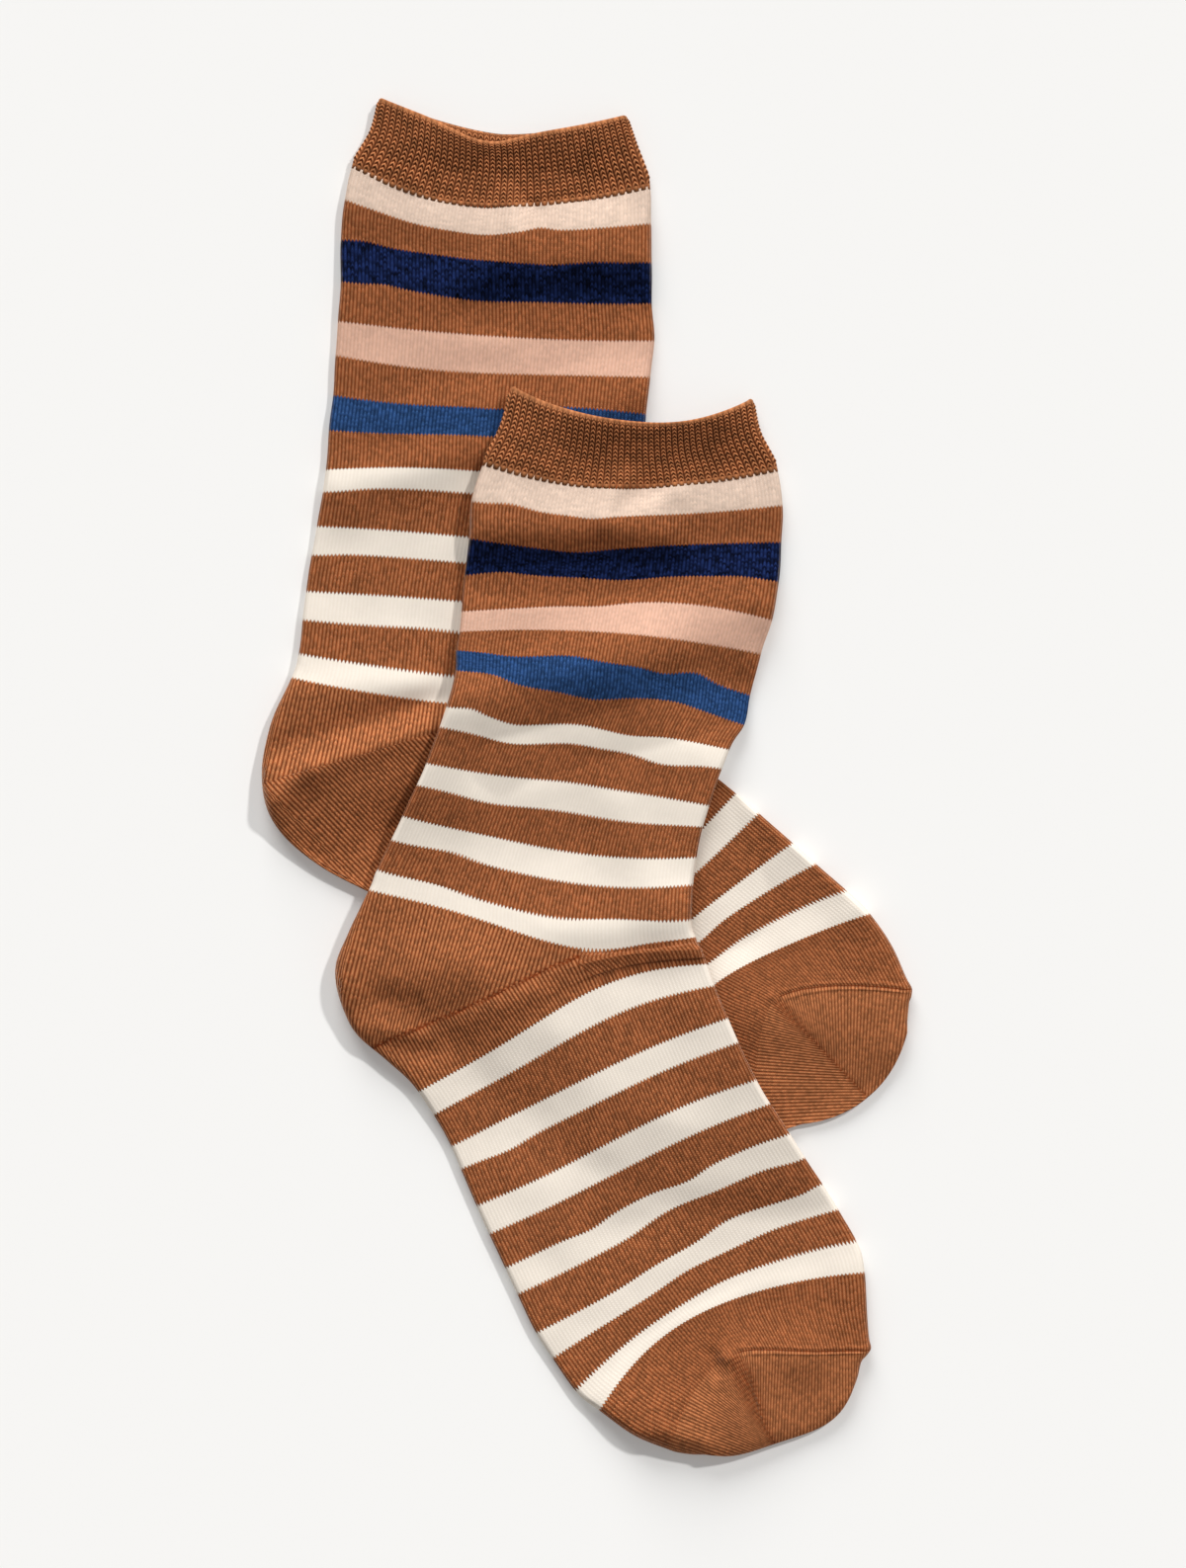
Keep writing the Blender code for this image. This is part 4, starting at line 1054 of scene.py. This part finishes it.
def plain_knit(sock):
    """The plain knit with its bands, and painted shade in the ladders of holes along its
    gores and in the seam's groove.
    """
    wires = Wires(sock.name + "_plain_knit")
    gore, _ = wires.map("gore")
    beyond = wires.math("GREATER_THAN", gore, 0.0)
    u, v = (wires.choose(beyond, near, far)
            for near, far in zip(wires.map("knit"), wires.map("pocket")))
    beside, course = wires.stitches(u, v, TOOTH)
    yarn = (*YARNS["brown"][0], 1.0)
    traits = (*YARNS["brown"][1:], 1.0)
    for colour, first, courses, repeat, times in BANDS:
        half = (repeat * (times - 1) + courses) / 2
        inside = wires.math("COMPARE", course, first + half, half)
        turn = wires.math("FRACT", wires.math("MULTIPLY_ADD", course, 1 / repeat, -first / repeat))
        inside = wires.times(inside, wires.math("LESS_THAN", turn, courses / repeat - HAIR))
        yarn = wires.mix(inside, yarn, (*YARNS[colour][0], 1.0))
        traits = wires.mix(inside, traits, (*YARNS[colour][1:], 1.0))
    in_pocket = wires.math("GREATER_THAN", v, HEEL_FOOT_COURSES)
    in_toe = wires.math("GREATER_THAN", v, HEEL_COURSES + ROW_COURSES["toe start"])
    least = wires.choose(in_pocket, LEG_CREST, wires.choose(in_toe, POCKET_CREST, TOE_CREST))
    wale = wires.choose(wires.wave(beside), least, 1.0)
    gap = wires.rest(wires.wave(wires.math("SUBTRACT", course, 0.5)))
    sunk = wires.times(gap, wires.choose(in_pocket, LEG_LOOP, POCKET_LOOP))
    crest = wires.times(wale, wires.rest(sunk))
    pocket = POCKET[sock.name]
    ladder = wires.ramp(wires.math("ABSOLUTE", gore), GORE_WIDTH, GORE_CORE)
    ladder = wires.times(ladder, wires.choose(in_toe, pocket["ladder"], TOE_LADDER))
    hole = wires.math("MULTIPLY_ADD", wires.wave(wires.times(v, 1 / HOLE_COURSES)), *LADDER_HOLE)
    start, end = (TOE_COURSES + ROW_COURSES["seam"] + away for away in SEAM_SHADE)
    groove = wires.math("COMPARE", v, (start + end) / 2, (end - start) / 2)
    corner = pocket["corner"] * WALES / 2
    groove = wires.times(groove, wires.ramp(u, corner + SEAM_WALES[0], corner + SEAM_WALES[1]))
    # painted shade in the ladder's holes and in the seam's groove; it lowers the bump there as well
    dark = wires.math("MAXIMUM", wires.times(ladder, hole), wires.times(groove, SEAM_DARK))
    crest = wires.times(crest, wires.rest(dark))
    return wires.finish(yarn, traits, u, course, crest, PLAIN_DEPTH, PLAIN_SHEEN)


def rib_knit(sock):
    """The ribbing: crests along the legs of each stitch, painted shade between ribs and in the
    hole between a stitch's legs, and nearly plain in the welt."""
    wires = Wires(sock.name + "_rib_knit")
    u, v = wires.map("knit")
    beside, course = wires.stitches(u, v, LEG_SLANT)
    gap = wires.rest(wires.wave(course))
    middle = wires.ramp(beside, *HOLE_EDGE)
    depth = wires.math("MULTIPLY_ADD", middle, GAP_DEPTH[1], GAP_DEPTH[0])
    yarn_top = wires.math("POWER", wires.rest(wires.times(gap, depth)), YARN_POWER)
    crest = wires.times(wires.ramp(beside, *RIB_CREST), yarn_top)
    ribbed = wires.times(wires.ramp(v, *RIBBED_START), wires.ramp(v, *RIBBED_END))
    plain = wires.math("MULTIPLY_ADD", wires.wave(beside), *WELT_CREST)
    crest = wires.choose(ribbed, plain, crest)
    yarn = wires.vector(*YARNS["brown"][0])
    traits = wires.vector(RIB_HOLLOW_SHADE, *YARNS["brown"][2:])
    return wires.finish(yarn, traits, u, course, crest, RIB_YARN_DEPTH, RIB_SHEEN)


def knitted_size(sock):
    """Widest girth, length down the middle and area of the whole tube, in metres."""
    rings, count = SIZE_SAMPLES
    t = np.linspace(0.0, sock.last, rings)
    points = sock.surface(t, np.tile(np.linspace(0.0, 1.0, count + 1), (rings, 1))) * MM
    down = np.diff(points, axis=0)
    across = np.diff(points, axis=1)
    girth = np.linalg.norm(across, axis=2).sum(axis=1).max()
    length = np.linalg.norm(down[:, count // 4], axis=1).sum()
    area = np.linalg.norm(np.cross(down[:, :-1], across[:-1]), axis=2).sum()
    return float(girth), float(length), float(area)


for sock in (under, over):
    body = bodies[sock.name]
    cuff = cuffs[sock.name]
    body.data.materials.append(plain_knit(sock))
    cuff.data.materials.append(rib_knit(sock))
    for piece in (body, cuff):
        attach(piece, "root")
        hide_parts(sock.name)
    girth, length, area = knitted_size(sock)
    print(sock.name, "knitted flat: %.3f by %.3f m, %.4f m2" % (girth, length, area))
print("yarns:", list(YARNS), "bands:", len(BANDS))

# %% [markdown]
# ## Table, light and camera
# A pale table, an even white surround and two lights: a small one from the upper right that
# draws the edges of the shadows, and a wide, low one from beyond the cuffs that shapes the
# folds.  Each light is given by its share of the light on the table.  The table glows a
# little with painted light of its own, which keeps the shadows on it light.  The camera
# looks straight down through a long lens.

# %% The stage
FLOOR_COLOUR = (0.87, 0.862, 0.845)
GLOW = 0.18                  # share of the table's light that it gives off itself, a painted glow that lightens its shadows
TABLE_LIGHT = 1.068          # light on the table: 1 shows a white table as white
# Each light: name, share, elevation, azimuth and how wide it is, the last three in degrees.
LAMPS = (("key", 0.37, 44.0, 46.0, 4.0), ("softbox", 0.38, 25.0, -12.0, 36.0))
TABLE_SIZE = 6.0             # metres across,
TABLE_DROP = 0.00005         # and metres by which it lies below the socks
PICTURE = np.array((1200, 1587))   # size of the picture in pixels,
PIXELS = 3.4                 # how many of them there are to a millimetre,
ZERO_PIXEL = np.array((587, 786))  # and where in it the zero of the tables lies
LOOK_HEIGHT = 4.0            # height that the camera is set for, in mm
LENS = 120.0                 # focal length,
SENSOR = 36.0                # and height of the film behind the lens
SIGHT = 20.0                 # metres that the camera sees

bpy.ops.mesh.primitive_plane_add(size=TABLE_SIZE, location=(0, 0, -TABLE_DROP))
floor = bpy.context.object
floor.name = "table_top"
paper = Wires("pale_table")
# painted glow: the table gives off part of its own light, which lightens the shadows on it
paper.set_shader(Base_Color=(*(c * (1 - GLOW) for c in FLOOR_COLOUR), 1.0),
                 Emission_Color=(*FLOOR_COLOUR, 1.0), Emission_Strength=GLOW * TABLE_LIGHT,
                 Roughness=1.0, Specular_IOR_Level=0.0)
floor.data.materials.append(paper.material)

world = bpy.data.worlds.new("studio")
bpy.context.scene.world = world
world.use_nodes = True
surround = world.node_tree.nodes["Background"].inputs
surround["Color"].default_value = (1.0, 1.0, 1.0, 1.0)
surround["Strength"].default_value = TABLE_LIGHT * (1 - sum(lamp[1] for lamp in LAMPS))

for name, share, elevation, azimuth, angle in LAMPS:
    lamp = bpy.data.lights.new(name, "SUN")
    lamp.energy = share * TABLE_LIGHT * np.pi / np.sin(np.radians(elevation))
    lamp.angle = np.radians(angle)
    lamp_object = bpy.data.objects.new(name, lamp)
    bpy.context.scene.collection.objects.link(lamp_object)
    lamp_object.rotation_euler = (np.radians(elevation - 90), 0.0, np.radians(-azimuth))

camera = bpy.data.cameras.new("camera")
camera.lens = LENS
camera.sensor_width = SENSOR
camera.clip_end = SIGHT
camera_object = bpy.data.objects.new("camera", camera)
bpy.context.scene.collection.objects.link(camera_object)
aside = (PICTURE / 2 - ZERO_PIXEL) / PIXELS
distance = PICTURE[1] / PIXELS * LENS / SENSOR
camera_object.location = (np.array((aside[0], -aside[1], LOOK_HEIGHT + distance)) + LAY) * MM
bpy.context.scene.camera = camera_object
bpy.context.scene.view_settings.view_transform = "Standard"
print("camera at", [round(c, 3) for c in camera_object.location])
